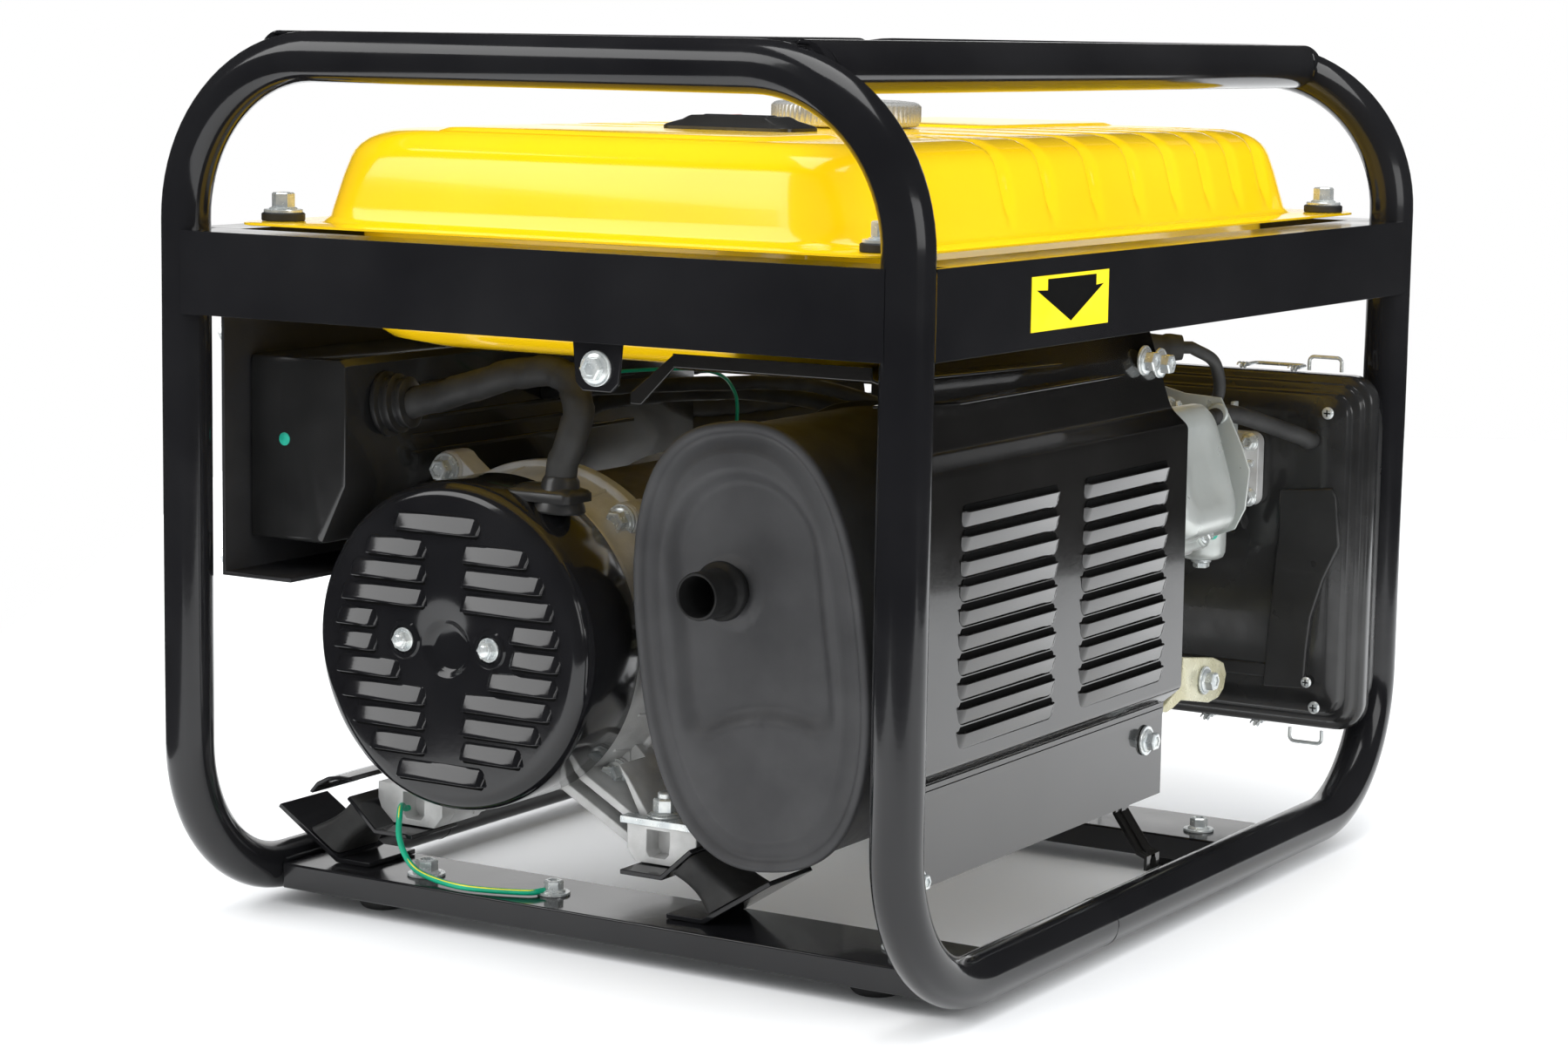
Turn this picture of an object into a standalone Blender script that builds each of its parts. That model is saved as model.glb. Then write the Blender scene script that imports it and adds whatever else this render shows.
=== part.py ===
"""Open-frame portable generator, about 596 x 441 x 458 mm.

Frame of reference: origin on the floor under the middle of the set, +Z up,
+X along the crankshaft towards the alternator end, +Y towards the muffler side.
All constants are millimetres unless their name says otherwise.
"""
import math

import bmesh
import bpy
from mathutils import Matrix, Vector

MM = 0.001
GAP = 0.3                       # space kept between touching pieces

# tube frame
TUBE_R = 12.5
POST_X = 286.0                  # post centre planes
POST_Y = 208.0
RAIL_LOW_Z = 17.5               # centre height of the bottom rails
RAIL_TOP_Z = 445.5              # centre height of the crossbars
BEND_TOP = 82.0                 # centre-line radius of the top bends
BEND_LOW = 78.0
TOP_RAIL_Y = 150.0
SEAM_X = 77.0                   # butt joint of the two hoops in the bottom rails
SEAM_HALF_GAP = 0.4

# steel angle belt that carries the tank
BELT_OUT = 11.5                 # outer face beyond the post centre plane
BELT_T = 2.5
BELT_LOW_Z = 316.4
BELT_TOP_Z = 358.2
BELT_LEG = 30.0

# base channels and feet
CHANNEL_X = {1: 199.0, -1: -132.0}
CHANNEL_W = 58.0
CHANNEL_TOP_Z = 22.5
CHANNEL_LOW_Z = 9.0
CHANNEL_T = 2.5
FOOT_R = 13.0
FOOT_Y = 150.0

# crankshaft line and the pieces turned about it
CRANK_Y = -76.0
CRANK_Z = 152.0
CASE_X = (-180.0, -50.0)
CYL_X = -115.0
CYL_TILT = math.radians(17.0)
BLOWER_X = -238.0               # outer face of the fan shroud
HEAD_A = (185.0, 228.0)         # head faces, measured from the crankshaft
COVER_R = 84.0
COVER_X = (196.0, 245.0)
BELL_X = (150.0, 192.0)
BELL_R = 79.0
STATOR_X = (22.0, BELL_X[0] - GAP)
STATOR_R = 75.0
STATOR_BORE = 52.0
BELL_FOOT_TOP_Z = 66.0
BELL_FOOT_LOW_Z = 44.3
MOUNT_X = {1: 192.0, -1: -132.0}  # under the end bell and under the engine
BELL_MOUNT_Y = {1: 36.0, -1: -150.0}
ENGINE_MOUNT_OUT = 80.0         # mount lines either side of the crankshaft
ENGINE_FOOT_OUT = 74.0
MOUNT_HALF_X = 20.0
MOUNT_PLATE_T = 2.5
SHAFT_BORE_R = 12.0
HANDLE = (-250.0, -148.0, 184.0)  # rope exit at the handle's back
PULL = (0.0, -1.0, 0.0)         # pulling direction
CARB_X, CARB_YZ = -200.0, (134.0, 214.0)
ENGINE_BASE_Z = 46.0

# fuel tank
FLANGE_Z = 361.0
FLANGE_T = 1.6
TANK_TOP_Z = 410.0
TANK_LOW_Z = 300.0
TANK_WALL = 2.0
FILLER = (0.0, 8.0)
FILLER_R = 24.0
TANK_MID_Y = 4.0                # the tank sits a little towards the muffler side
TANK_BOLT = (256.0, 174.0)

# muffler and its shield
MUFFLER_X = (92.0, 222.0)
MUFFLER_YZ = (88.0, 166.0)
MUFFLER_HALF = (65.0, 110.0)
MUFFLER_TILT = math.radians(7.5)
OUTLET_YZ = (74.0, 193.0)
SHIELD_X = (-40.0, 240.0)
SHIELD_T = 1.4
SHIELD_LEG_X = (-4.0, 11.0)
PLATE_Y = 187.0                 # outer face of the plate under the shield
PLATE_Z = (61.0, 105.5)
PIPE_R = 14.0

# control panel
PANEL_Y = -212.0
PANEL_T = 2.0
PANEL_X = (-100.0, 255.0)
PANEL_Z = (178.0, 312.0)
BOX_X = (-96.0, 236.0)
BOX_WALL = 3.0
BOX_BACK_Y = -147.0
OUTLET_HOLE_R = 22.0
OUTLET_X = (75.0, 145.0)
PANEL_MID_Z = 252.0
SWITCH_X, SWITCH_Z = -60.0, 252.0
SWITCH_THROW = math.radians(24.0)  # rests tipped to one side
BREAKER = (205.0, 262.0)
EARTH_Z = 205.0

# air cleaner
CLEANER_X = (-236.0, -284.0)
CLEANER_Y = (24.0, 217.0)
CLEANER_Z = (63.0, 270.0)
CLIP_WIRE_R = 1.2


# ---------------------------------------------------------------- helpers
def clear_scene():
    for obj in list(bpy.data.objects):
        bpy.data.objects.remove(obj, do_unlink=True)


def material(name, colour, roughness, metallic=0.0):
    mat = bpy.data.materials.new(name)
    mat.use_nodes = True
    shader = mat.node_tree.nodes["Principled BSDF"]
    shader.inputs["Base Color"].default_value = (*colour, 1.0)
    shader.inputs["Roughness"].default_value = roughness
    shader.inputs["Metallic"].default_value = metallic
    return mat


def finish(name, bm, mat, origin=(0, 0, 0), smooth=30):
    """Turn a millimetre bmesh into a named object with the given origin."""
    centre = Vector(origin)
    bmesh.ops.translate(bm, verts=bm.verts, vec=-centre)
    bmesh.ops.scale(bm, verts=bm.verts, vec=(MM, MM, MM))
    bmesh.ops.recalc_face_normals(bm, faces=bm.faces)
    mesh = bpy.data.meshes.new(name)
    bm.to_mesh(mesh)
    bm.free()
    mesh.materials.append(mat)
    if smooth:
        mesh.shade_smooth()
        mesh.set_sharp_from_angle(angle=math.radians(smooth))
    obj = bpy.data.objects.new(name, mesh)
    obj.location = centre * MM
    bpy.context.scene.collection.objects.link(obj)
    return obj


def tool(name, bm):
    """A hidden solid used only by Boolean modifiers."""
    obj = finish(name, bm, MATS["cutter"], smooth=0)
    obj.hide_render = True
    obj.display_type = "WIRE"
    return obj


def combine(obj, other, operation):
    mod = obj.modifiers.new(operation.title(), "BOOLEAN")
    mod.operation = operation
    mod.solver = "EXACT"
    mod.object = other


def skin(bm, loops, closed_ring=False):
    """Bridge equal-sized loops of points; cap both ends unless they form a ring."""
    rings = [[bm.verts.new(p) for p in loop] for loop in loops]
    count = len(rings[0])
    pairs = list(zip(rings, rings[1:]))
    if closed_ring:
        pairs.append((rings[-1], rings[0]))
    for first, second in pairs:
        for i in range(count):
            j = (i + 1) % count
            bm.faces.new((first[i], first[j], second[j], second[i]))
    if not closed_ring:
        bm.faces.new(rings[0])
        bm.faces.new(rings[-1])
    return bm


def loft(loops):
    return skin(bmesh.new(), loops)


def box(x, y, z):
    return loft([[(x[0], y[0], h), (x[1], y[0], h), (x[1], y[1], h), (x[0], y[1], h)]
                 for h in z])


def prism_x(outline, x):
    return loft([[(a, p[0], p[1]) for p in outline] for a in x])


def prism_y(outline, y):
    return loft([[(p[0], a, p[1]) for p in outline] for a in y])


def axis_frame(centre, direction):
    """Matrix whose +Z runs along direction from centre."""
    turn = Vector(direction).to_track_quat("Z", "Y").to_matrix().to_4x4()
    return Matrix.Translation(Vector(centre)) @ turn


def turned(profile, centre, direction, steps=32, ring=False):
    """Revolve (radius, height) points; a ring profile is a closed loop off the axis."""
    frame = axis_frame(centre, direction)
    bm = bmesh.new()
    if ring:
        loops = [[frame @ Vector((r * math.cos(a), r * math.sin(a), h)) for r, h in profile]
                 for a in (2 * math.pi * k / steps for k in range(steps))]
        return skin(bm, loops, closed_ring=True)
    loops = [[frame @ Vector((r * math.cos(a), r * math.sin(a), h))
              for a in (2 * math.pi * k / steps for k in range(steps))]
             for r, h in profile]
    return skin(bm, loops)


def cylinder(centre, direction, radius, length, steps=24):
    return turned([(radius, 0), (radius, length)], centre, direction, steps)


def rounded_rect(half_x, half_y, radius, per_corner=5):
    points = []
    for k, (sx, sy) in enumerate(((1, 1), (-1, 1), (-1, -1), (1, -1))):
        for i in range(per_corner):
            a = math.pi / 2 * (k + i / (per_corner - 1))
            points.append((sx * (half_x - radius) + radius * math.cos(a),
                           sy * (half_y - radius) + radius * math.sin(a)))
    return points


def bend_path(corners, radii, steps=8):
    """Polyline through corner points with each inner corner rounded to a radius."""
    pts = [Vector(c) for c in corners]
    path = [pts[0]]
    for before, corner, after, radius in zip(pts, pts[1:], pts[2:], radii):
        u = (before - corner).normalized()
        v = (after - corner).normalized()
        half = u.angle(v) / 2
        reach = radius / math.tan(half)
        centre = corner + (u + v).normalized() * (radius / math.sin(half))
        start = corner + u * reach - centre
        end = corner + v * reach - centre
        for i in range(steps + 1):
            turn = start.normalized().slerp(end.normalized(), i / steps)
            path.append(centre + turn * radius)
    path.append(pts[-1])
    return path


def smooth_path(points, steps=5):
    """Catmull-Rom curve through the given points."""
    pts = [Vector(p) for p in points]
    pts = [2 * pts[0] - pts[1]] + pts + [2 * pts[-1] - pts[-2]]
    path = []
    for a, b, c, d in zip(pts, pts[1:], pts[2:], pts[3:]):
        for i in range(steps):
            t = i / steps
            path.append(0.5 * (2 * b + (c - a) * t + (2 * a - 5 * b + 4 * c - d) * t * t
                               + (3 * b - a - 3 * c + d) * t ** 3))
    path.append(pts[-2])
    return path


def swept_tube(name, path, radius, mat, resolution=2):
    """A round tube along a path, as a bevelled curve with filled ends."""
    curve = bpy.data.curves.new(name, "CURVE")
    curve.dimensions = "3D"
    curve.bevel_depth = radius * MM
    curve.bevel_resolution = resolution
    curve.use_fill_caps = True
    spline = curve.splines.new("POLY")
    spline.points.add(len(path) - 1)
    for point, place in zip(spline.points, path):
        point.co = (*(Vector(place) * MM), 1.0)
    curve.materials.append(mat)
    obj = bpy.data.objects.new(name, curve)
    bpy.context.scene.collection.objects.link(obj)
    return obj


# ---------------------------------------------------------------- materials
MATS = {}


def make_materials():
    for name, colour, roughness, metallic in (
            ("frame_paint", (0.012, 0.012, 0.013), 0.22, 0.0),
            ("tank_paint", (0.90, 0.62, 0.01), 0.25, 0.0),
            ("cover_paint", (0.010, 0.010, 0.011), 0.15, 0.0),
            ("muffler_paint", (0.035, 0.035, 0.036), 0.6, 0.0),
            ("cast_aluminium", (0.55, 0.54, 0.52), 0.45, 0.9),
            ("zinc_steel", (0.62, 0.62, 0.60), 0.3, 1.0),
            ("steel_core", (0.16, 0.15, 0.12), 0.5, 0.7),
            ("black_plastic", (0.015, 0.015, 0.016), 0.4, 0.0),
            ("panel_plastic", (0.03, 0.03, 0.032), 0.45, 0.0),
            ("rubber", (0.02, 0.02, 0.02), 0.8, 0.0),
            ("red_plastic", (0.6, 0.02, 0.02), 0.35, 0.0),
            ("green_sleeve", (0.02, 0.45, 0.25), 0.4, 0.0),
            ("grey_plastic", (0.25, 0.25, 0.26), 0.5, 0.0),
            ("cutter", (1.0, 0.0, 1.0), 0.5, 0.0)):
        MATS[name] = material(name, colour, roughness, metallic)


# ---------------------------------------------------------------- tube frame
def hoop(name, side):
    """One bent tube: bottom stub, post, crossbar, post, bottom stub."""
    x = side * POST_X
    stub = SEAM_X + side * SEAM_HALF_GAP
    corners = [(stub, -POST_Y, RAIL_LOW_Z), (x, -POST_Y, RAIL_LOW_Z), (x, -POST_Y, RAIL_TOP_Z),
               (x, POST_Y, RAIL_TOP_Z), (x, POST_Y, RAIL_LOW_Z), (stub, POST_Y, RAIL_LOW_Z)]
    path = bend_path(corners, (BEND_LOW, BEND_TOP, BEND_TOP, BEND_LOW), 7)
    return swept_tube(name, path, TUBE_R, MATS["frame_paint"], 3)


def top_rail(name, side):
    reach = POST_X - TUBE_R - GAP
    ends = [(-reach, side * TOP_RAIL_Y, RAIL_TOP_Z), (reach, side * TOP_RAIL_Y, RAIL_TOP_Z)]
    return swept_tube(name, ends, TUBE_R, MATS["frame_paint"], 3)


def post_tools():
    """Round clearances where the belt butts on the four posts."""
    made = {}
    for sx in (1, -1):
        for sy in (1, -1):
            bm = cylinder((sx * POST_X, sy * POST_Y, BELT_LOW_Z - 20), (0, 0, 1),
                          TUBE_R + GAP, 90, 32)
            made[sx, sy] = tool(f"post_clearance_{sx}_{sy}", bm)
    return made


def belt_end(name, side, posts):
    """Angle across one end, its upper leg carrying the tank flange."""
    face = side * (POST_X + BELT_OUT)
    inner = side * (POST_X + BELT_OUT - BELT_T)
    leg = side * (POST_X + BELT_OUT - BELT_LEG)
    outline = [(face, BELT_LOW_Z), (face, BELT_TOP_Z), (leg, BELT_TOP_Z),
               (leg, BELT_TOP_Z - BELT_T), (inner, BELT_TOP_Z - BELT_T), (inner, BELT_LOW_Z)]
    reach = POST_Y - 4.5
    obj = finish(name, prism_y(outline, (-reach, reach)), MATS["frame_paint"], smooth=0)
    for sy in (1, -1):
        combine(obj, posts[side, sy], "DIFFERENCE")
    return obj


def belt_side(name, side, posts):
    """Angle along one side; its upper leg stops short of the end angles."""
    face = side * (POST_Y + BELT_OUT)
    inner = side * (POST_Y + BELT_OUT - BELT_T)
    leg = side * (POST_Y + BELT_OUT - BELT_LEG)
    low, top = BELT_LOW_Z, BELT_TOP_Z
    reach = POST_X - 4.5
    leg_reach = POST_X + BELT_OUT - BELT_LEG - 1.0
    bm = bmesh.new()
    upright = [(face, low), (face, top), (inner, top), (inner, low)]
    skin(bm, [[(a, p[0], p[1]) for p in upright] for a in (-reach, reach)])
    obj = finish(name, bm, MATS["frame_paint"], smooth=0)
    shelf = box((-leg_reach, leg_reach), sorted((face - side * 1.0, leg)), (top - BELT_T, top))
    combine(obj, tool(name + "_shelf", shelf), "UNION")
    for sx in (1, -1):
        combine(obj, posts[sx, side], "DIFFERENCE")
    return obj


def cross_channel(name, side):
    """Pressed channel, open underneath, between the two bottom rails."""
    half = CHANNEL_W / 2
    t = CHANNEL_T
    x = CHANNEL_X[side]
    outline = [(x - half, CHANNEL_LOW_Z), (x - half, CHANNEL_TOP_Z), (x + half, CHANNEL_TOP_Z),
               (x + half, CHANNEL_LOW_Z), (x + half - t, CHANNEL_LOW_Z),
               (x + half - t, CHANNEL_TOP_Z - t), (x - half + t, CHANNEL_TOP_Z - t),
               (x - half + t, CHANNEL_LOW_Z)]
    reach = POST_Y - TUBE_R - GAP
    return finish(name, prism_y(outline, (-reach, reach)), MATS["frame_paint"], smooth=0)


def foot(name, sx, sy):
    """Turned rubber foot pushed up inside the channel."""
    top = CHANNEL_TOP_Z - CHANNEL_T - GAP
    profile = [(FOOT_R - 2, 0), (FOOT_R, 2), (FOOT_R, 7), (FOOT_R - 4, 8.5), (FOOT_R - 4, top)]
    bm = turned(profile, (CHANNEL_X[sx], sy * FOOT_Y, 0), (0, 0, 1), 20)
    return finish(name, bm, MATS["rubber"])


def make_frame():
    hoop("hoop_alternator_end", 1)
    hoop("hoop_recoil_end", -1)
    top_rail("top_rail_muffler_side", 1)
    top_rail("top_rail_panel_side", -1)
    posts = post_tools()
    belt_end("belt_alternator_end", 1, posts)
    belt_end("belt_recoil_end", -1, posts)
    belt_side("belt_muffler_side", 1, posts)
    belt_side("belt_panel_side", -1, posts)
    cross_channel("channel_alternator_end", 1)
    cross_channel("channel_recoil_end", -1)
    foot("foot_alternator_muffler", 1, 1)
    foot("foot_alternator_panel", 1, -1)
    foot("foot_recoil_muffler", -1, 1)
    foot("foot_recoil_panel", -1, -1)


# ---------------------------------------------------------------- engine mounts
def rubber_mount(name, x, y, side, top):
    """Bonded mount: plate rising from the channel, slanting rubber block, plate under the foot."""
    low = CHANNEL_TOP_Z + GAP
    t = MOUNT_PLATE_T
    outline = [(0, low), (22, low), (61, low + 25), (59.4, low + 27), (42, low + 16.2),
               (15, top + 13.8), (13, top + 15.5), (-4, top), (-28, top), (-28, top - t),
               (-3, top - t), (1, top + 1.1), (22, low + 4), (20.6, low + t), (0, low + t)]
    outline = [(y + side * a, h) for a, h in outline]
    return finish(name, prism_x(outline, (x - MOUNT_HALF_X, x + MOUNT_HALF_X)), MATS["rubber"],
                  smooth=0)


def make_mounts():
    foot_low = BELL_FOOT_LOW_Z - GAP
    rubber_mount("mount_alternator_muffler", MOUNT_X[1], BELL_MOUNT_Y[1], 1, foot_low)
    rubber_mount("mount_alternator_panel", MOUNT_X[1], BELL_MOUNT_Y[-1], -1, foot_low)
    for name, side in (("mount_engine_muffler", 1), ("mount_engine_panel", -1)):
        rubber_mount(name, MOUNT_X[-1], CRANK_Y + side * ENGINE_MOUNT_OUT, side,
                     ENGINE_BASE_Z - GAP)


# ---------------------------------------------------------------- fuel tank
def tank_loop(half_x, half_y, radius, height):
    return [(x, y + TANK_MID_Y, height) for x, y in rounded_rect(half_x, half_y, radius, 5)]


def tank_sections(inset):
    """Stacked outlines from the bottom pan, out to the flange and up the shell."""
    i = inset
    return [tank_loop(216 - i, 132 - i, 40, TANK_LOW_Z + i),
            tank_loop(232 - i, 148 - i, 40, TANK_LOW_Z + 5 + i * 0.7),
            tank_loop(239 - i, 155 - i, 40, TANK_LOW_Z + 16)]


def shell_sections(inset):
    i = inset
    top = TANK_TOP_Z
    return [tank_loop(259 - i, 162 - i, 34, FLANGE_Z + FLANGE_T + i),
            tank_loop(255 - i, 158 - i, 34, FLANGE_Z + 8),
            tank_loop(248 - i, 151 - i, 36, top - 12),
            tank_loop(242 - i, 145 - i, 38, top - 3.5 - i * 0.7),
            tank_loop(230 - i, 133 - i, 38, top - i)]


def fuel_tank():
    outer = tank_sections(0)
    outer.append(tank_loop(240, 156, 40, FLANGE_Z))
    outer.append(tank_loop(281, 186, 12, FLANGE_Z))
    outer.append(tank_loop(281, 186, 12, FLANGE_Z + FLANGE_T))
    outer += shell_sections(0)
    obj = finish("fuel_tank", loft(outer), MATS["tank_paint"])
    inner = tank_sections(TANK_WALL)
    inner.append(tank_loop(240 - TANK_WALL, 156 - TANK_WALL, 40, FLANGE_Z + FLANGE_T))
    inner += shell_sections(TANK_WALL)[1:]
    neck = turned([(FILLER_R - 3, 0), (FILLER_R - 3, 5.5), (FILLER_R, 5.5), (FILLER_R, 0)],
                  (*FILLER, TANK_TOP_Z - 1), (0, 0, 1), 32, ring=True)
    combine(obj, tool("filler_neck", neck), "UNION")
    combine(obj, tool("tank_hollow", loft(inner)), "DIFFERENCE")
    bore = cylinder((*FILLER, TANK_TOP_Z - 8), (0, 0, 1), FILLER_R - 3, 30, 32)
    combine(obj, tool("filler_bore", bore), "DIFFERENCE")
    return obj


def fuel_cap():
    """Wide knurled cap that turns on the filler neck."""
    centre = (*FILLER, TANK_TOP_Z + 1.0)
    profile = [(FILLER_R + 1, 0), (38, 0), (40.5, 1.5), (40.5, 12), (39, 13.5), (1, 15.0),
               (1, 6.5), (FILLER_R + 1, 6.5)]
    bm = turned(profile, centre, (0, 0, 1), 40, ring=True)
    plug = cylinder((centre[0], centre[1], centre[2] + 7), (0, 0, 1), 3, 7.5, 16)
    obj = finish("fuel_cap", bm, MATS["zinc_steel"], centre)
    combine(obj, tool("fuel_cap_centre", plug), "UNION")
    return obj


def make_tank():
    fuel_tank()
    fuel_cap()
    gauge = loft([[(x + 98, y + 2, h) for x, y in rounded_rect(hx, hy, 6, 3)]
                  for hx, hy, h in ((16, 39, TANK_TOP_Z + GAP), (16, 39, TANK_TOP_Z + 4),
                                    (12, 35, TANK_TOP_Z + 8))])
    finish("fuel_gauge", gauge, MATS["black_plastic"])


# ---------------------------------------------------------------- alternator
def turned_x(profile, steps=40, ring=False):
    """Revolve (radius, x) points about the crankshaft line."""
    return turned([(r, x) for r, x in profile], (0, CRANK_Y, CRANK_Z), (1, 0, 0), steps, ring)


def end_bell():
    x0, x1 = BELL_X
    ring = [(14, x0 + 12), (60, x0), (BELL_R, x0), (BELL_R, x0 + 30), (70, x1), (14, x1)]
    obj = finish("end_bell", turned_x(ring, 40, True), MATS["cast_aluminium"])
    for sy in (1, -1):
        y = BELL_MOUNT_Y[sy]
        inner = CRANK_Y + sy * 38
        web = [(inner, 100), (y - sy * 6, BELL_FOOT_TOP_Z), (y + sy * 4, BELL_FOOT_TOP_Z),
               (y + sy * 4, BELL_FOOT_LOW_Z + 11), (y - sy * 6, BELL_FOOT_LOW_Z),
               (y - sy * 33, BELL_FOOT_LOW_Z), (inner - sy * 6, 78)]
        combine(obj, tool(f"bell_foot_{sy}", prism_x(web, (x0 + 6, COVER_X[0] - GAP))), "UNION")
    for k in range(4):
        a = math.radians(45 + 90 * k)
        y = CRANK_Y + 84 * math.cos(a)
        z = CRANK_Z + 84 * math.sin(a)
        combine(obj, tool(f"bell_lug_{k}", cylinder((x0, y, z), (1, 0, 0), 9, 14, 16)), "UNION")
    return obj


def engine_adaptor():
    """Flared casting between the crankcase and the stator."""
    x0 = CASE_X[1] + GAP
    x1 = STATOR_X[0] - GAP
    ring = [(16, x0), (60, x0), (66, x0 + 30), (STATOR_R + 4, x1 - 12), (STATOR_R + 4, x1),
            (60, x1), (50, x0 + 40), (16, x0 + 14)]
    return finish("engine_adaptor", turned_x(ring, 32, True), MATS["cast_aluminium"])


def make_alternator():
    end_bell()
    engine_adaptor()
    x0, x1 = STATOR_X
    ring = [(STATOR_BORE, x0), (STATOR_R, x0), (STATOR_R, x1), (STATOR_BORE, x1)]
    finish("stator_core", turned_x(ring, 40, True), MATS["steel_core"])
    front = COVER_X[1]
    cup = [(COVER_R - 1.8, COVER_X[0]), (COVER_R, COVER_X[0]), (COVER_R, front - 9),
           (COVER_R - 3, front - 3), (COVER_R - 9, front), (3, front), (3, front - 2),
           (COVER_R - 10, front - 2), (COVER_R - 4.5, front - 5), (COVER_R - 1.8, front - 10)]
    cover = finish("alternator_cover", turned_x(cup, 48, True), MATS["cover_paint"])
    hub = turned_x([(6, front - 4), (6, front - 0.4)], 20)
    combine(cover, tool("cover_hub", hub), "UNION")


def make_crank():
    """Crankshaft with rotor and flywheel: one spinning body."""
    origin = (0, CRANK_Y, CRANK_Z)
    shaft = [(9, BLOWER_X + 18), (11, BLOWER_X + 22), (11, 16), (20, 18), (STATOR_BORE - 2, 30),
             (STATOR_BORE - 2, 142), (12, 144), (12, 198), (9, 200)]
    finish("crankshaft_rotor", turned_x(shaft, 28), MATS["steel_core"], origin)
    x = BLOWER_X + 20
    ring = [(11 + GAP, x), (30, x), (30, x + 4), (84, x + 4), (84, x + 24), (70, x + 24),
            (66, x + 12), (11 + GAP, x + 12)]
    finish("flywheel", turned_x(ring, 36, True), MATS["cast_aluminium"], origin)


# ---------------------------------------------------------------- engine
def along_cylinder(a, b):
    """World (y, z) of a point a along the cylinder line and b across it."""
    c, s = math.cos(CYL_TILT), math.sin(CYL_TILT)
    return (CRANK_Y + a * c - b * s, CRANK_Z + a * s + b * c)


def tilted(outline, x):
    """Solid between two x planes from an outline of (along, across) points."""
    return prism_x([along_cylinder(a, b) for a, b in outline], x)


def crankcase():
    x0, x1 = CASE_X
    profile = [(SHAFT_BORE_R, x0), (58, x0), (66, x0 + 8), (66, x1 - 8), (58, x1),
               (SHAFT_BORE_R, x1)]
    obj = finish("crankcase", turned_x(profile, 32, True), MATS["cast_aluminium"])
    out, low = ENGINE_FOOT_OUT, ENGINE_BASE_Z
    base = [(CRANK_Y - out, low), (CRANK_Y + out, low), (CRANK_Y + out, low + 12),
            (CRANK_Y + 62, low + 22), (CRANK_Y + 60, CRANK_Z), (CRANK_Y + 40, CRANK_Z + 40),
            (CRANK_Y - 50, CRANK_Z + 20), (CRANK_Y - 62, low + 22), (CRANK_Y - out, low + 12)]
    sump = tool("crankcase_sump", prism_x(base, (x0 + 6, x1 - 6)))
    combine(obj, sump, "UNION")
    barrel = [(40, -42), (HEAD_A[0], -42), (HEAD_A[0], 46), (30, 46)]
    combine(obj, tool("cylinder_barrel", tilted(barrel, (CYL_X - 45, CYL_X + 45))), "UNION")
    bore = cylinder((x0 - 10, CRANK_Y, CRANK_Z), (1, 0, 0), SHAFT_BORE_R, x1 - x0 + 20, 32)
    combine(obj, tool("crank_bore", bore), "DIFFERENCE")
    return obj


def make_engine():
    crankcase()
    a0, a1 = HEAD_A
    head = [(a0 + GAP, -46), (a1, -46), (a1, 46), (a0 + GAP, 46)]
    finish("cylinder_head", tilted(head, (CYL_X - 46, CYL_X + 46)), MATS["cast_aluminium"],
           smooth=0)
    cover = [(a1 + GAP, -44), (a1 + 5, -44), (a1 + 8, -39), (a1 + 28, -36), (a1 + 34, -30),
             (a1 + 34, 30), (a1 + 28, 36), (a1 + 8, 39), (a1 + 5, 44), (a1 + GAP, 44)]
    finish("rocker_cover", tilted(cover, (CYL_X - 43, CYL_X + 43)), MATS["zinc_steel"])


def blower_housing():
    """Fan shroud round the flywheel, open towards the crankcase."""
    x_in, x_out = CASE_X[0] - 2, BLOWER_X
    ring = [(93, x_in), (95, x_in), (95, x_out + 8), (87, x_out), (62, x_out), (62, x_out + 2),
            (86, x_out + 2), (93, x_out + 9)]
    return finish("blower_housing", turned_x(ring, 40, True), MATS["cover_paint"])


def recoil_cover():
    """Shallow cup over the starter pulley, with a boss for its spindle."""
    x_in, x_out = BLOWER_X - GAP, BLOWER_X - 24
    ring = [(70, x_in), (74, x_in), (74, x_out + 8), (66, x_out), (6, x_out), (6, x_out + 2),
            (65, x_out + 2), (70, x_out + 9)]
    obj = finish("recoil_cover", turned_x(ring, 40, True), MATS["black_plastic"])
    eye = cylinder((HANDLE[0], CRANK_Y, HANDLE[2]), PULL, 4, 90, 16)
    spindle = turned_x([(4.5, BLOWER_X - 4), (4.5, x_out + 1.0)], 20)
    hub = turned_x([(8, x_out + 0.4), (8, x_out + 2.4)], 20)
    combine(obj, tool("recoil_spindle", spindle), "UNION")
    combine(obj, tool("recoil_hub", hub), "UNION")
    combine(obj, tool("rope_eye", eye), "DIFFERENCE")
    return obj


def make_starter():
    blower_housing()
    recoil_cover()
    x = BLOWER_X - 19
    pulley = [(5, x), (54, x), (54, x + 2), (32, x + 4), (32, x + 10), (54, x + 12),
              (54, x + 14), (5, x + 14)]
    finish("starter_pulley", turned_x(pulley, 36, True), MATS["black_plastic"],
           (0, CRANK_Y, CRANK_Z))
    pull, across, root = Vector(PULL), Vector((-PULL[1], PULL[0], 0)), Vector(HANDLE)
    loops = [[root + pull * out + across * a + Vector((0, 0, b))
              for a, b in rounded_rect(half, tall, r, 3)]
             for out, half, tall, r in ((0, 5, 5, 3), (8, 6, 9, 4), (13, 8, 36, 7),
                                        (20, 9, 42, 8), (28, 9, 42, 8), (33, 6, 38, 5))]
    finish("starter_handle", loft(loops), MATS["black_plastic"], HANDLE)


def cleaner_outline(inset, radius=14.0):
    y0, y1 = CLEANER_Y
    z0, z1 = CLEANER_Z
    cy, cz = (y0 + y1) / 2, (z0 + z1) / 2
    return [(cy + a, cz + b)
            for a, b in rounded_rect((y1 - y0) / 2 - inset, (z1 - z0) / 2 - inset,
                                     radius, 4)]


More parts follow.
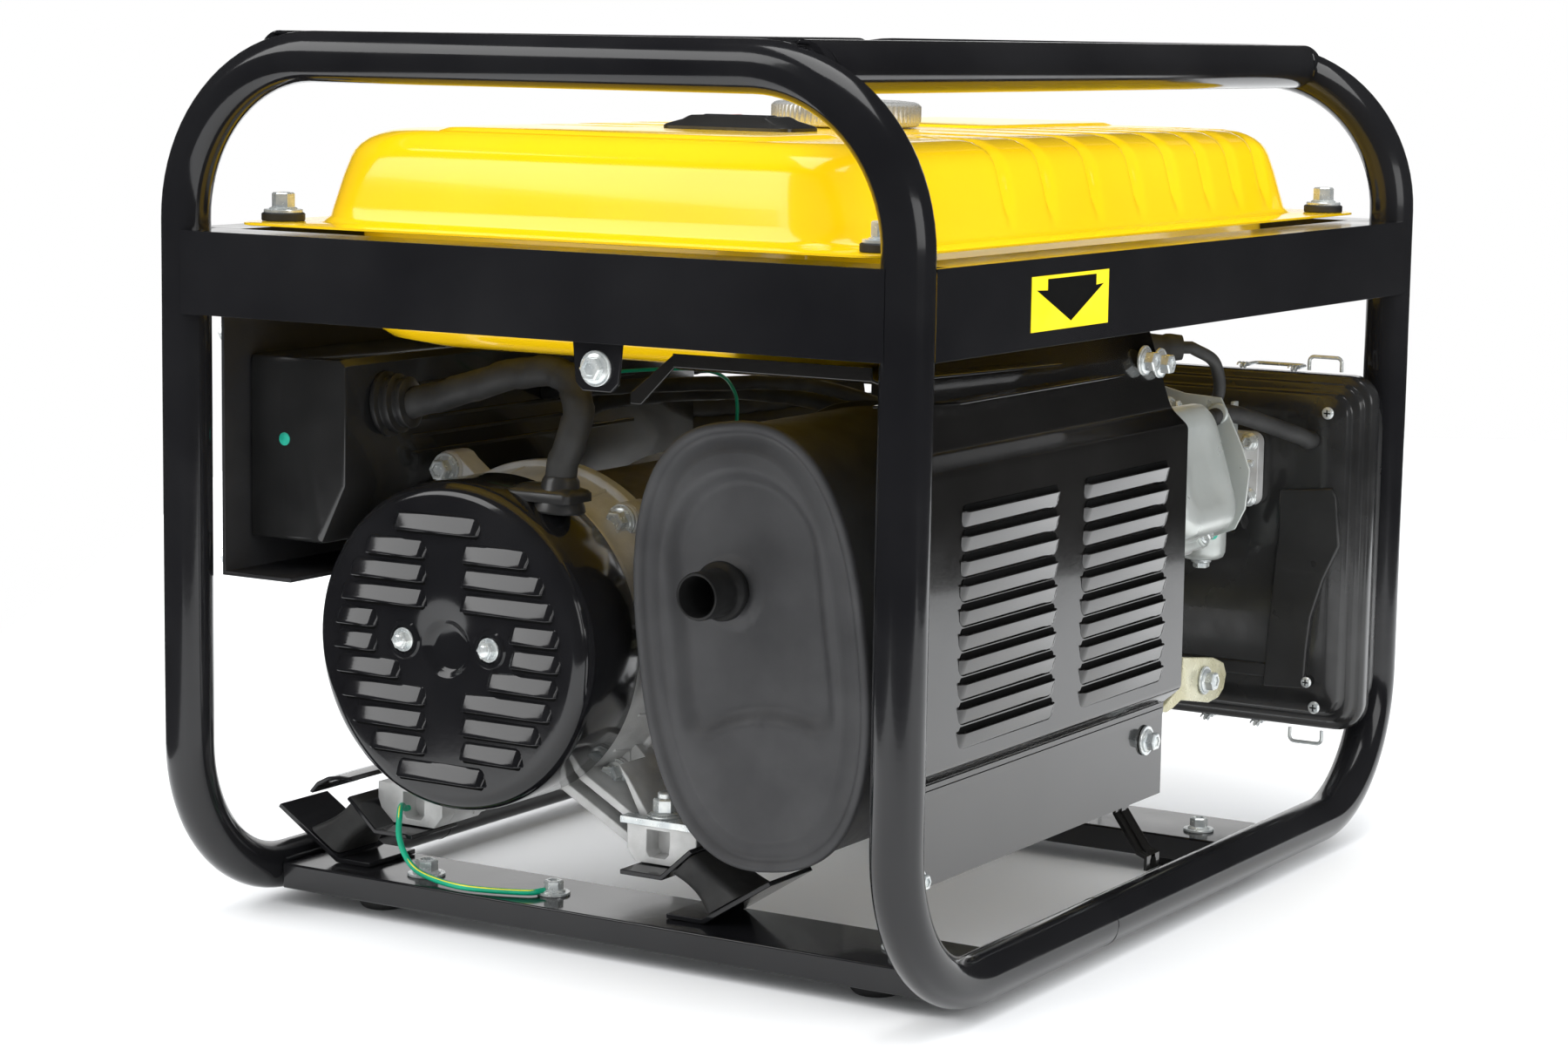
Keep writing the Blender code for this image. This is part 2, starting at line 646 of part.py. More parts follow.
def make_intake():
    x_in, x_out = CLEANER_X
    split = x_in - 22
    tray = loft([[(x, y, z) for y, z in cleaner_outline(i)]
                 for x, i in ((x_in, 16), (x_in - 8, 12), (x_in - 10, 2), (x_in - 14, 0),
                              (split, 0))])
    base = finish("air_cleaner_tray", tray, MATS["black_plastic"])
    hollow = loft([[(x, y, z) for y, z in cleaner_outline(i)]
                   for x, i in ((x_in - 3, 18), (x_in - 10, 14), (split - 5, 5))])
    combine(base, tool("tray_hollow", hollow), "DIFFERENCE")
    lid = loft([[(x, y, z) for y, z in cleaner_outline(i, 30)]
                for x, i in ((split - GAP, 1), (split - 8, 1), (split - 13, 6), (split - 14.5, 24),
                             (x_out + 4, 27), (x_out, 34))])
    cover = finish("air_cleaner_lid", lid, MATS["black_plastic"])
    hollow = loft([[(x, y, z) for y, z in cleaner_outline(i, 26)]
                   for x, i in ((split + 5, 5), (split - 9, 5), (split - 11.5, 26),
                                (x_out + 6, 29), (x_out + 2.5, 34))])
    combine(cover, tool("lid_hollow", hollow), "DIFFERENCE")
    y, z = CARB_YZ
    x0 = CYL_X - 46 - GAP
    body = loft([[(x, y + a, z + b) for a, b in rounded_rect(hy, hz, 5, 3)]
                 for x, hy, hz in ((x0, 20, 20), (x0 - 5, 20, 20), (x0 - 5, 15, 18),
                                   (x_in + 8, 16, 18), (x_in + 8, 22, 22),
                                   (x_in + GAP, 22, 22))])
    carb = finish("carburetor", body, MATS["cast_aluminium"])
    bowl = cylinder((CARB_X, y, z - 50), (0, 0, 1), 14.5, 40, 20)
    combine(carb, tool("carburetor_bowl", bowl), "UNION")


def make_clips():
    """Spring wire bails at the top and bottom that swing over the lid's edge."""
    x_in = CLEANER_X[0]
    for name, side, y in (("lid_clip_top", 1, 150.0), ("lid_clip_bottom", -1, 134.0)):
        edge = CLEANER_Z[1] if side > 0 else CLEANER_Z[0]
        pivot = (x_in - 12, y, edge + side * (CLIP_WIRE_R + 1))
        reach = x_in - 22 - 11
        path = [(pivot[0], y - 16, pivot[2]), (reach, y - 16, pivot[2]),
                (reach, y + 16, pivot[2]), (pivot[0], y + 16, pivot[2])]
        clip = swept_tube(name, bend_path(path, (4, 4), 3), CLIP_WIRE_R, MATS["zinc_steel"], 1)
        set_curve_origin(clip, pivot)


def set_curve_origin(obj, origin):
    """Move a curve object's origin without moving its shape."""
    shift = Vector(origin) * MM
    for spline in obj.data.splines:
        for point in spline.points:
            point.co = (*(Vector(point.co[:3]) - shift), 1.0)
    obj.location = shift


# ---------------------------------------------------------------- exhaust
def oval(inset, steps=40):
    """Tilted superellipse outline of the muffler in (y, z)."""
    a, b = MUFFLER_HALF[0] - inset, MUFFLER_HALF[1] - inset
    c, s = math.cos(MUFFLER_TILT), math.sin(MUFFLER_TILT)
    points = []
    for k in range(steps):
        t = 2 * math.pi * k / steps
        u = a * math.copysign(abs(math.cos(t)) ** 0.8, math.cos(t))
        v = b * math.copysign(abs(math.sin(t)) ** 0.8, math.sin(t))
        points.append((MUFFLER_YZ[0] + u * c - v * s, MUFFLER_YZ[1] + u * s + v * c))
    return points


def muffler():
    x0, x1 = MUFFLER_X
    loops = [[(x, y, z) for y, z in oval(i)]
             for x, i in ((x0, 8), (x0, 0), (x0 + 4, 0), (x0 + 4, 3), (x1 - 5, 3), (x1 - 5, 0),
                          (x1, 0), (x1, 5), (x1 - 3, 9), (x1 - 3, 14), (x1 + 1, 22))]
    obj = finish("muffler", loft(loops), MATS["muffler_paint"])
    hollow = loft([[(x, y, z) for y, z in oval(i)]
                   for x, i in ((x0 + 1.8, 5.5), (x1 - 5, 5.5), (x1 - 5, 14))])
    combine(obj, tool("muffler_hollow", hollow), "DIFFERENCE")
    y, z = OUTLET_YZ
    pipe = turned([(10.5, 0), (10.5, 29), (9, 29), (9, 0)], (x1 - 4, y, z), (1, 0, 0), 24, True)
    combine(obj, tool("outlet_pipe", pipe), "UNION")
    bore = cylinder((x1 - 20, y, z), (1, 0, 0), 9, 60, 24)
    combine(obj, tool("outlet_bore", bore), "DIFFERENCE")
    return obj


SHIELD_PROFILE = ((172, 309), (186, 268), (196, 260), (197, 119), (PLATE_Y, 111),
                  (PLATE_Y, 106))


def sheet_profile(points, thickness):
    """Closed outline of a bent sheet: the given outer line and a parallel inner one."""
    pts = [Vector(p) for p in points]
    inner = []
    for i, p in enumerate(pts):
        before = (p - pts[i - 1]).normalized() if i else (pts[1] - p).normalized()
        after = (pts[i + 1] - p).normalized() if i + 1 < len(pts) else before
        mean = (before + after).normalized()
        normal = Vector((mean.y, -mean.x))
        inner.append(p + normal * thickness / max(0.5, mean.dot(before)))
    return [tuple(p) for p in pts] + [tuple(p) for p in reversed(inner)]


def make_exhaust():
    muffler()
    outline = sheet_profile(SHIELD_PROFILE, SHIELD_T)
    finish("heat_shield", prism_x(outline, SHIELD_X), MATS["cover_paint"], smooth=0)
    plate = sheet_profile(((PLATE_Y, PLATE_Z[1]), (PLATE_Y, PLATE_Z[0])), SHIELD_T)
    finish("lower_plate", prism_x(plate, (SHIELD_X[0] + 1, SHIELD_X[1])), MATS["cover_paint"],
           smooth=0)
    back = PLATE_Y - SHIELD_T - GAP
    rest = RAIL_LOW_Z + TUBE_R + GAP
    leg = [(back, 92), (back, 59), (199, 40), (204, 38), (204, rest), (202, rest), (202, 36),
           (197.5, 38), (back - 2, 58), (back - 2, 92)]
    finish("shield_leg", prism_x(leg, SHIELD_LEG_X), MATS["frame_paint"], smooth=0)
    y, z = along_cylinder(190, 0)
    start, end = CYL_X + 46 + GAP, MUFFLER_X[0] - GAP
    pipe = smooth_path(((start, y, z), (start + 12, y, z), (-36, y + 3, 203), (20, 108, 192),
                        (end - 14, 98, 188), (end, 98, 188)), 4)
    pipe = [p for p in pipe if start + 14 < p.x < end - 14]
    pipe = [Vector((start, y, z)), Vector((start + 8, y, z)), *pipe,
            Vector((end - 8, 98, 188)), Vector((end, 98, 188))]
    swept_tube("exhaust_pipe", pipe, PIPE_R, MATS["muffler_paint"], 2)


# ---------------------------------------------------------------- control panel
def make_panel():
    x0, x1 = PANEL_X
    z0, z1 = PANEL_Z
    outline = [(PANEL_Y, z0), (PANEL_Y, z1), (PANEL_Y + PANEL_T, z1),
               (PANEL_Y + PANEL_T, z0 + PANEL_T), (PANEL_Y + 45, z0 + PANEL_T),
               (PANEL_Y + 45, z0)]
    panel = finish("control_panel", prism_x(outline, (x0, x1)), MATS["panel_plastic"], smooth=0)
    for k, x in enumerate(OUTLET_X):
        hole = cylinder((x, PANEL_Y - 5, PANEL_MID_Z), (0, 1, 0), OUTLET_HOLE_R, 15,
                        28)
        combine(panel, tool(f"outlet_hole_{k}", hole), "DIFFERENCE")
    slot = box((SWITCH_X - 8.8, SWITCH_X + 8.8), (PANEL_Y - 5, PANEL_Y + 9),
               (SWITCH_Z - 8.0, SWITCH_Z + 8.0))
    combine(panel, tool("switch_window", slot), "DIFFERENCE")
    hole = cylinder((BREAKER[0], PANEL_Y - 5, BREAKER[1]), (0, 1, 0), 6.5, 15, 20)
    combine(panel, tool("breaker_hole", hole), "DIFFERENCE")
    back = PANEL_Y + PANEL_T + GAP
    shape = [(back, 196), (back, 292), (BOX_BACK_Y, 292), (BOX_BACK_Y, 226),
             (BOX_BACK_Y - 15, 196)]
    housing = finish("control_box", prism_x(shape, BOX_X), MATS["panel_plastic"], smooth=0)
    shape = [(back - 5, 199), (back - 5, 289), (BOX_BACK_Y - BOX_WALL, 289),
             (BOX_BACK_Y - BOX_WALL, 227.5), (BOX_BACK_Y - 16.5, 199)]
    inside = (BOX_X[0] + BOX_WALL, BOX_X[1] - BOX_WALL)
    combine(housing, tool("box_hollow", prism_x(shape, inside)), "DIFFERENCE")


def outlet(name, x):
    """Round socket: flanged cup with a recess for the plug."""
    y = PANEL_Y
    ring = [(18.5, -3), (24.5, -3), (24.5, -GAP), (21.6, -GAP), (21.6, 22), (1, 22), (1, 14),
            (18.5, 14)]
    obj = finish(name, turned(ring, (x, y, PANEL_MID_Z), (0, 1, 0), 32, True),
                 MATS["grey_plastic"])
    core = cylinder((x, y + 14.5, PANEL_MID_Z), (0, 1, 0), 3, 7, 12)
    combine(obj, tool(name + "_core", core), "UNION")
    return obj


def make_panel_fittings():
    for name, x in zip(("outlet_near_engine", "outlet_near_alternator"), OUTLET_X):
        outlet(name, x)
    meter = loft([[(x + 10, PANEL_Y - d, z + PANEL_MID_Z) for x, z in rounded_rect(h, h, 4, 3)]
                  for h, d in ((23, GAP), (23, 5), (20, 7))])
    finish("voltmeter", meter, MATS["black_plastic"])
    y = PANEL_Y
    rocker = [(y - 4.5, -7.5), (y - 1.2, 0), (y - 4.5, 7.5), (y + 3, 6), (y + 5, 0), (y + 3, -6)]
    bm = loft([[(SWITCH_X + b, a, z) for a, b in rocker]
               for z in (SWITCH_Z - 7.5, SWITCH_Z + 7.5)])
    pivot = Vector((SWITCH_X, PANEL_Y + 2, SWITCH_Z))
    bmesh.ops.rotate(bm, verts=bm.verts, cent=pivot,
                     matrix=Matrix.Rotation(-SWITCH_THROW / 2, 3, "Z"))
    finish("engine_switch", bm, MATS["red_plastic"], pivot, 0)
    button = turned([(5.5, -6), (6, -5), (6, 6)], (BREAKER[0], PANEL_Y, BREAKER[1]), (0, 1, 0), 20)
    finish("breaker_button", button, MATS["black_plastic"], (BREAKER[0], PANEL_Y, BREAKER[1]))
    post = turned([(7, GAP), (7, 2), (4, 2), (4, 4), (6.5, 4.6), (6.5, 8.2)],
                  (BREAKER[0], PANEL_Y, EARTH_Z), (0, -1, 0), 18)
    finish("earth_terminal", post, MATS["zinc_steel"])


# ---------------------------------------------------------------- controls on the engine
def make_levers():
    y = CARB_YZ[0] + 16 + GAP
    x = CARB_X
    pivot = (x, y, CARB_YZ[1] + 10)
    outline = [(-4, -4), (4, -4), (3, 32), (-3, 32)]
    lever = prism_y([(x + a, pivot[2] + b) for a, b in outline], (y, y + 2.5))
    finish("choke_lever", lever, MATS["zinc_steel"], pivot, 0)
    pivot = (x, y, CARB_YZ[1] - 8)
    outline = [(4, 4), (-4, 4), (-24, -22), (-20, -26), (4, -4)]
    lever = prism_y([(x + a, pivot[2] + b) for a, b in outline], (y, y + 2.5))
    finish("fuel_valve_lever", lever, MATS["zinc_steel"], pivot, 0)
    centre = (CYL_X + 20, CRANK_Y + 66, ENGINE_BASE_Z + 34)
    cap = turned([(12, 0), (12, 8), (5, 8), (5, 14)], centre, (0, 1, 0), 18)
    finish("oil_cap", cap, MATS["black_plastic"], centre)


# ---------------------------------------------------------------- leads
def straight_ended(path, start, end):
    """Route from start to end whose end faces lie square to the first and last runs."""
    return [Vector(start)] + smooth_path(path, 4) + [Vector(end)]


def make_leads():
    """Wires and hoses, each held at both ends along a fixed route."""
    wall = BOX_BACK_Y + GAP
    loom = straight_ended(((214, -27, 244), (207, -24, 276), (198, -44, 287), (199, -92, 276),
                           (203, wall + 12, 267)), (215, -28.5, 226), (203, wall, 267))
    swept_tube("loom", loom, 8, MATS["rubber"], 2)
    y, z = along_cylinder(206, 46 + GAP)
    y1, z1 = along_cylinder(206, 56)
    cap = straight_ended(((CYL_X - 8, y1, z1), (CYL_X - 9, y1 + 3, z1 + 12),
                          (CYL_X - 16, y1 + 16, z1 + 22), (CYL_X - 28, y1 + 32, z1 + 24)),
                         (CYL_X - 8, y, z), (CYL_X - 32, y1 + 37, z1 + 24))
    swept_tube("spark_plug_cap", cap, 10, MATS["rubber"], 2)
    end = cap[-1]
    out = (end - cap[-2]).normalized()
    lead = straight_ended((end + out * 6, (end.x - 20, end.y + 12, end.z - 10),
                           (end.x - 26, end.y + 10, end.z - 32),
                           (end.x - 24, end.y - 16, end.z - 46), (CASE_X[0] - 8, 62, 222),
                           (CASE_X[0] - 12, 30, 205)), end + out * GAP,
                          (CASE_X[0] - 12, 24, 202))
    swept_tube("ignition_lead", lead, 3.5, MATS["rubber"], 1)
    hy, hz = along_cylinder(247, 26)
    x0, x1 = CYL_X - 43 - GAP, CLEANER_X[0] + GAP
    hose = straight_ended(((x0 - 6, hy, hz), (x0 - 20, hy + 8, hz + 2), (x1 + 14, hy + 28, hz - 12),
                           (x1 + 5, hy + 32, hz - 16)), (x0, hy, hz), (x1, hy + 32, hz - 16))
    swept_tube("breather_hose", hose, 5, MATS["rubber"], 2)
    low = CHANNEL_TOP_Z + 2.2
    ground = smooth_path(((199, -136, 54), (205, -134, 57), (212, -130, 54), (216, -127, 42),
                          (217, -119, 30), (220, -104, low + 0.8), (224, -78, low),
                          (215, -48, low), (206, -42, low)), 4)
    ground.insert(0, Vector((196.4, -136, 54)))
    swept_tube("ground_wire", ground, 1.6, MATS["green_sleeve"], 1)


def main():
    clear_scene()
    make_materials()
    make_frame()
    make_mounts()
    make_tank()
    make_alternator()
    make_crank()
    make_engine()
    make_starter()
    make_intake()
    make_clips()
    make_exhaust()
    make_panel()
    make_panel_fittings()
    make_levers()
    make_leads()


main()
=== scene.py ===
"""Looks of the open-frame portable generator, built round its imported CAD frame.

The frame is in metres with +Z up, +X towards the alternator end and +Y towards the
muffler side. Shapes are written in millimetres and scaled once, in piece().
"""

import math

import bmesh
import bpy
from mathutils import Matrix, Vector


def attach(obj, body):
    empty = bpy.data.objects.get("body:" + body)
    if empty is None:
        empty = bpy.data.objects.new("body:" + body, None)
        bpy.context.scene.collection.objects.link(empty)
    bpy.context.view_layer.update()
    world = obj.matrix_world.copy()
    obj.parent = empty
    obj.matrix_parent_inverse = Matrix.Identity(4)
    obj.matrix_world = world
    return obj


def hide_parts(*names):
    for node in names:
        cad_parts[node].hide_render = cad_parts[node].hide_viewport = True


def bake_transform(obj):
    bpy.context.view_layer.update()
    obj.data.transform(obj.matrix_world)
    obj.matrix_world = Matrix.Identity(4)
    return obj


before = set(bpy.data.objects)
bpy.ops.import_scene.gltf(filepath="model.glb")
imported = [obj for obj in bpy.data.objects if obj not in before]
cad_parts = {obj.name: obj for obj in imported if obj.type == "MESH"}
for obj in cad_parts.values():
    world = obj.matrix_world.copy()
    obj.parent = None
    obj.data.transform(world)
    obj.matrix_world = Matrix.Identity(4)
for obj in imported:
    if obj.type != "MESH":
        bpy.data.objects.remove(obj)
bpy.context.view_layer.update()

MM = 0.001
TURN = 2 * math.pi
GAP = 0.3                       # clearance between neighbouring solids
UP, DOWN = (0, 0, 1), (0, 0, -1)
TO_END, TO_RECOIL = (1, 0, 0), (-1, 0, 0)
TO_MUFFLER, TO_PANEL = (0, 1, 0), (0, -1, 0)
CORNERS = ((1, 1), (1, -1), (-1, 1), (-1, -1))

# the CAD's driving sizes, repeated here in millimetres
TUBE_R = 12.5
POST_X, POST_Y = 286.0, 208.0
RAIL_LOW_Z, RAIL_TOP_Z = 17.5, 445.5
BEND_TOP, BEND_LOW = 82.0, 78.0
TOP_RAIL_Y = 150.0
SEAM_X = 77.0
BELT_OUT = 11.5
CHANNEL_X = {1: 199.0, -1: -132.0}
CHANNEL_TOP_Z = 22.5
CRANK_Y, CRANK_Z = -76.0, 152.0
FLANGE_Z, TANK_TOP_Z = 361.0, 410.0
FILLER = (0.0, 8.0)
TANK_BOLT = (256.0, 174.0)
TANK_MID_Y = 4.0
MUFFLER_X, MUFFLER_YZ = (92.0, 222.0), (88.0, 166.0)
MUFFLER_HALF, MUFFLER_TILT = (65.0, 110.0), math.radians(7.5)
OUTLET_YZ = (74.0, 193.0)
SHIELD_X = (-40.0, 240.0)
CLEANER_X, CLEANER_Y, CLEANER_Z = (-236.0, -284.0), (24.0, 217.0), (63.0, 270.0)
CASE_X, CYL_X, CYL_TILT, HEAD_A = (-180.0, -50.0), -115.0, math.radians(17.0), (185.0, 228.0)
BLOWER_X = -238.0
CARB_X, CARB_YZ = -200.0, (134.0, 214.0)
HANDLE = (-250.0, -148.0, 184.0)
CASE_FACE_Y = -16.0
PANEL_Y, PANEL_X, PANEL_Z = -212.0, (-100.0, 255.0), (178.0, 312.0)
PANEL_MID_Z = 252.0
BOX_X, BOX_BACK_Y = (-96.0, 236.0), -147.0
COVER_X, COVER_R = (196.0, 245.0), 84.0


# ---------------------------------------------------------------- mesh helpers
def skin(bm, loops, ring=False, mat=0):
    """Bridge equal-sized loops of points into bm; the ends are capped unless they form a ring."""
    rows = [[bm.verts.new(p) for p in loop] for loop in loops]
    count = len(rows[0])
    pairs = list(zip(rows, rows[1:]))
    if ring:
        pairs.append((rows[-1], rows[0]))
    faces = []
    for first, second in pairs:
        for i in range(count):
            j = (i + 1) % count
            faces.append(bm.faces.new((first[i], first[j], second[j], second[i])))
    if not ring:
        faces.append(bm.faces.new(rows[0]))
        faces.append(bm.faces.new(rows[-1]))
    for face in faces:
        face.material_index = mat
    return faces


def frame_at(centre, direction):
    """Matrix whose +Z runs along direction from centre."""
    turn = Vector(direction).to_track_quat("Z", "Y").to_matrix().to_4x4()
    return Matrix.Translation(Vector(centre)) @ turn


def turned(bm, profile, centre, direction, steps, ring=False, mat=0, knurl=None):
    """Revolve (radius, height) points; knurl = (count, depth, low height, high height)."""
    place = frame_at(centre, direction)
    loops = []
    for r, h in profile:
        loop = []
        for k in range(steps):
            a = TURN * k / steps
            rr = r
            if knurl and knurl[2] <= h <= knurl[3]:
                rr = r - knurl[1] * (0.5 + 0.5 * math.cos(a * knurl[0]))
            loop.append(place @ Vector((rr * math.cos(a), rr * math.sin(a), h)))
        loops.append(loop)
    return skin(bm, loops, ring, mat=mat)


def block(bm, x, y, z):
    """Box between two x, two y and two z values."""
    skin(bm, [[(x[0], y[0], h), (x[1], y[0], h), (x[1], y[1], h), (x[0], y[1], h)] for h in z])


def prism(bm, outline, axis, span):
    """Extrude a 2D outline along axis; the outline holds the other two coordinates in order."""
    order = {"x": lambda p, a: (a, p[0], p[1]), "y": lambda p, a: (p[0], a, p[1]),
             "z": lambda p, a: (p[0], p[1], a)}[axis]
    skin(bm, [[order(p, a) for p in outline] for a in span])


def rounded_rect(half_x, half_y, radius, per_corner, sides=(0, 0)):
    """Rounded rectangle outline; sides adds evenly spaced points on the (x, y) straight runs."""
    points = []
    for k, (sx, sy) in enumerate(((1, 1), (-1, 1), (-1, -1), (1, -1))):
        for i in range(per_corner):
            a = math.pi / 2 * (k + i / (per_corner - 1))
            points.append((sx * (half_x - radius) + radius * math.cos(a),
                           sy * (half_y - radius) + radius * math.sin(a)))
        extra = sides[0] if k % 2 == 0 else sides[1]
        ax, ay = points[-1]
        bx, by = (-ax, ay) if k % 2 == 0 else (ax, -ay)
        for i in range(1, extra + 1):
            t = i / (extra + 1)
            points.append((ax + (bx - ax) * t, ay + (by - ay) * t))
    return points


def bend_path(corners, radii, steps=20):
    """Polyline through corner points with each inner corner rounded to a radius."""
    pts = [Vector(c) for c in corners]
    path = [pts[0]]
    for before, corner, after, radius in zip(pts, pts[1:], pts[2:], radii):
        u = (before - corner).normalized()
        v = (after - corner).normalized()
        half = u.angle(v) / 2
        centre = corner + (u + v).normalized() * (radius / math.sin(half))
        start = (corner + u * (radius / math.tan(half)) - centre).normalized()
        end = (corner + v * (radius / math.tan(half)) - centre).normalized()
        path += [centre + start.slerp(end, i / steps) * radius for i in range(steps + 1)]
    return path + [pts[-1]]


def smooth_path(points, steps):
    """Catmull-Rom curve through the given points."""
    pts = [Vector(p) for p in points]
    pts = [2 * pts[0] - pts[1]] + pts + [2 * pts[-1] - pts[-2]]
    path = []
    for a, b, c, d in zip(pts, pts[1:], pts[2:], pts[3:]):
        for i in range(steps):
            t = i / steps
            path.append(0.5 * (2 * b + (c - a) * t + (2 * a - 5 * b + 4 * c - d) * t * t
                               + (3 * b - a - 3 * c + d) * t ** 3))
    return path + [pts[-2]]


def tube(bm, path, radius, sides, mat=0, closed=False):
    """Round tube along a path; radius is a number or a function of (index, turn angle)."""
    pts = [Vector(p) for p in path]
    count = len(pts)
    tangents = []
    for i in range(count):
        before = pts[i - 1] if i or closed else pts[i]
        after = pts[(i + 1) % count] if i + 1 < count or closed else pts[i]
        tangents.append((after - before).normalized())
    normal = tangents[0].orthogonal().normalized()
    loops = []
    for i, (p, t) in enumerate(zip(pts, tangents)):
        normal = (normal - t * normal.dot(t)).normalized()
        side = t.cross(normal)
        loop = []
        for k in range(sides):
            a = TURN * k / sides
            r = radius(i, a) if callable(radius) else radius
            loop.append(p + normal * r * math.cos(a) + side * r * math.sin(a))
        loops.append(loop)
    return skin(bm, loops, ring=closed, mat=mat)


def weld_bead(bm, path, radius, closed=False):
    """Rippled fillet of weld metal along a path."""
    def ripple(i, a):
        return radius * (0.92 + 0.07 * math.cos(i * 1.3) + 0.03 * math.sin(a * 3 + i))
    tube(bm, path, ripple, 8, closed=closed)


def circle_path(centre, direction, radius, steps):
    """Evenly spaced points on a circle about direction."""
    place = frame_at(centre, direction)
    angles = (TURN * k / steps for k in range(steps))
    return [place @ Vector((radius * math.cos(a), radius * math.sin(a), 0)) for a in angles]


def hex_bolt(bm, at, direction, size, height, washer):
    """Flanged hexagon head: washer, flange skirt, chamfered head with a dished top."""
    if washer:
        turned(bm, [(size * 0.5, 0.0), (washer - 0.3, 0.0), (washer, 0.3), (washer, 1.2),
                    (washer - 0.3, 1.5), (size * 0.5, 1.5)], at, direction, 28)
        at = Vector(at) + Vector(direction).normalized() * 1.5
    turned(bm, [(size * 1.3, 0), (size * 1.33, 0.5), (size * 1.12, 1.1), (size * 0.9, 1.4)],
           at, direction, 24)
    turned(bm, [(size * 1.0, 1.0), (size * 1.08, 1.1), (size * 1.08, height - 0.7),
                (size * 0.93, height), (size * 0.66, height), (size * 0.58, height - 0.9),
                (size * 0.1, height - 1.0)], at, direction, 6)


def socket_screw(bm, at, direction, radius, height):
    """Round pan head with a cross recess, drawn as a near-black cross of painted shade."""
    turned(bm, [(radius, 0), (radius, height * 0.4), (radius * 0.8, height * 0.85),
                (radius * 0.4, height), (0.05, height)], at, direction, 20)
    place = frame_at(at, direction)
    # the cross is a thin near-black block: painted shade standing in for the recess
    for sx, sy in ((1, 0.22), (0.22, 1)):
        w, d = radius * 0.55 * sx, radius * 0.55 * sy
        skin(bm, [[place @ Vector((a * w, b * d, h))
                   for a, b in ((-1, -1), (1, -1), (1, 1), (-1, 1))]
                  for h in (height * 0.9, height * 1.02)], mat=1)


def louvre(bm, at, along, up, out, length, height, depth, slot_shade, round_ends=False):
    """Pressed hood with a near-black strip of painted shade across its open lip; up runs from the
    lip to its flush edge.
    """
    at, along, up, out = (Vector(v) for v in (at, along, up, out))
    rise = ((0.0, 0.04), (0.25, 0.55), (0.55, 0.85), (1.0, 1.0))
    cap = height * (0.62 if round_ends else 0.42)
    ends = [(cap * t, k) for t, k in rise]
    stations = ends + [(length - d, k) for d, k in reversed(ends)]
    loops = []
    for d, k in stations:
        base = at + along * (d - length / 2)
        top = 0.55 + 0.45 * k if round_ends else 0.35 + 0.65 * k
        section = ((top, -0.1), (0.97 * top, 0.02 * k), (0.8 * top, 0.2 * k),
                   (0.6 * top, 0.42 * k), (0.4 * top, 0.63 * k), (0.22 * top, 0.83 * k),
                   (0.1 * top, 0.96 * k), (0.03, 1.0 * k), (0.0, 0.95 * k), (0.0, -0.1))
        loops.append([base + up * (height * v) + out * (depth * n) for v, n in section])
    skin(bm, loops)
    inset = cap * 0.35
    # the mouth is a thin near-black plate: painted shade where the open slot would show its shadow
    mouth_shade = []
    for n in (-0.3, 0.22):
        mouth_shade.append([at + along * a - up * b + out * n
                      for a, b in ((inset - length / 2, -0.2), (length / 2 - inset, -0.2),
                                   (length / 2 - inset, slot_shade * 0.5),
                                   (length / 2 - inset - slot_shade * 0.5, slot_shade),
                                   (slot_shade * 0.5 + inset - length / 2, slot_shade),
                                   (inset - length / 2, slot_shade * 0.5))])
    skin(bm, mouth_shade, mat=1)


# ---------------------------------------------------------------- pieces
def piece(name, bm, mats, body="frame", hides=(), smooth=32, bevel=0.0):
    """Turn a millimetre bmesh into a shaded object that rides on a CAD body."""
    bmesh.ops.scale(bm, verts=bm.verts, vec=(MM, MM, MM))
    bmesh.ops.recalc_face_normals(bm, faces=bm.faces)
    mesh = bpy.data.meshes.new(name)
    bm.to_mesh(mesh)
    bm.free()
    for mat in mats if isinstance(mats, (list, tuple)) else [mats]:
        mesh.materials.append(mat)
    obj = bpy.data.objects.new(name, mesh)
    bpy.context.scene.collection.objects.link(obj)
    return dress(obj, body, hides, smooth, bevel)


EASED_SMOOTH = 40               # degrees, for CAD nodes whose edges are eased


def dress(obj, body, hides, smooth, bevel):
    """Bevel and shade an object, then attach it to its body and hide the nodes it replaces."""
    if bevel:
        mod = obj.modifiers.new("edges", "BEVEL")
        mod.width = bevel * MM
        mod.segments = 3
        mod.limit_method = "ANGLE"
        mod.angle_limit = math.radians(35)
        mod.harden_normals = False
    obj.data.shade_smooth()
    obj.data.set_sharp_from_angle(angle=math.radians(smooth))
    if body:
        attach(obj, body)
    if hides:
        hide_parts(*hides)
    return obj


def refined(node, mat, body="frame", *, bevel):
    """A copy of a flat-sided CAD node with its edges eased."""
    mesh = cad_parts[node].data.copy()
    bm = bmesh.new()
    bm.from_mesh(mesh)
    bmesh.ops.remove_doubles(bm, verts=bm.verts, dist=1e-6)
    bmesh.ops.dissolve_limit(bm, angle_limit=math.radians(1), verts=bm.verts, edges=bm.edges)
    bm.to_mesh(mesh)
    bm.free()
    mesh.materials.clear()
    mesh.materials.append(mat)
    obj = bpy.data.objects.new(node + "_eased", mesh)
    bpy.context.scene.collection.objects.link(obj)
    return dress(obj, body, (node,), EASED_SMOOTH, bevel)


def recolour(mat, *nodes):
    """Give carried-over CAD nodes a finished material."""
    for node in nodes:
        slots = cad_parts[node].material_slots
        for one in slots:
            one.material = mat


# ---------------------------------------------------------------- materials
GLOSS_SPAN, TONE_SPAN = (0.3, 0.7), (0.35, 0.65)    # parts of the noise that are used
LAMINATION_PITCH = 1.1 * MM
COAT_ROUGHNESS = 0.06


def blank(name):
    mat = bpy.data.materials.new(name)
    mat.use_nodes = True
    return mat, mat.node_tree.nodes, mat.node_tree.links


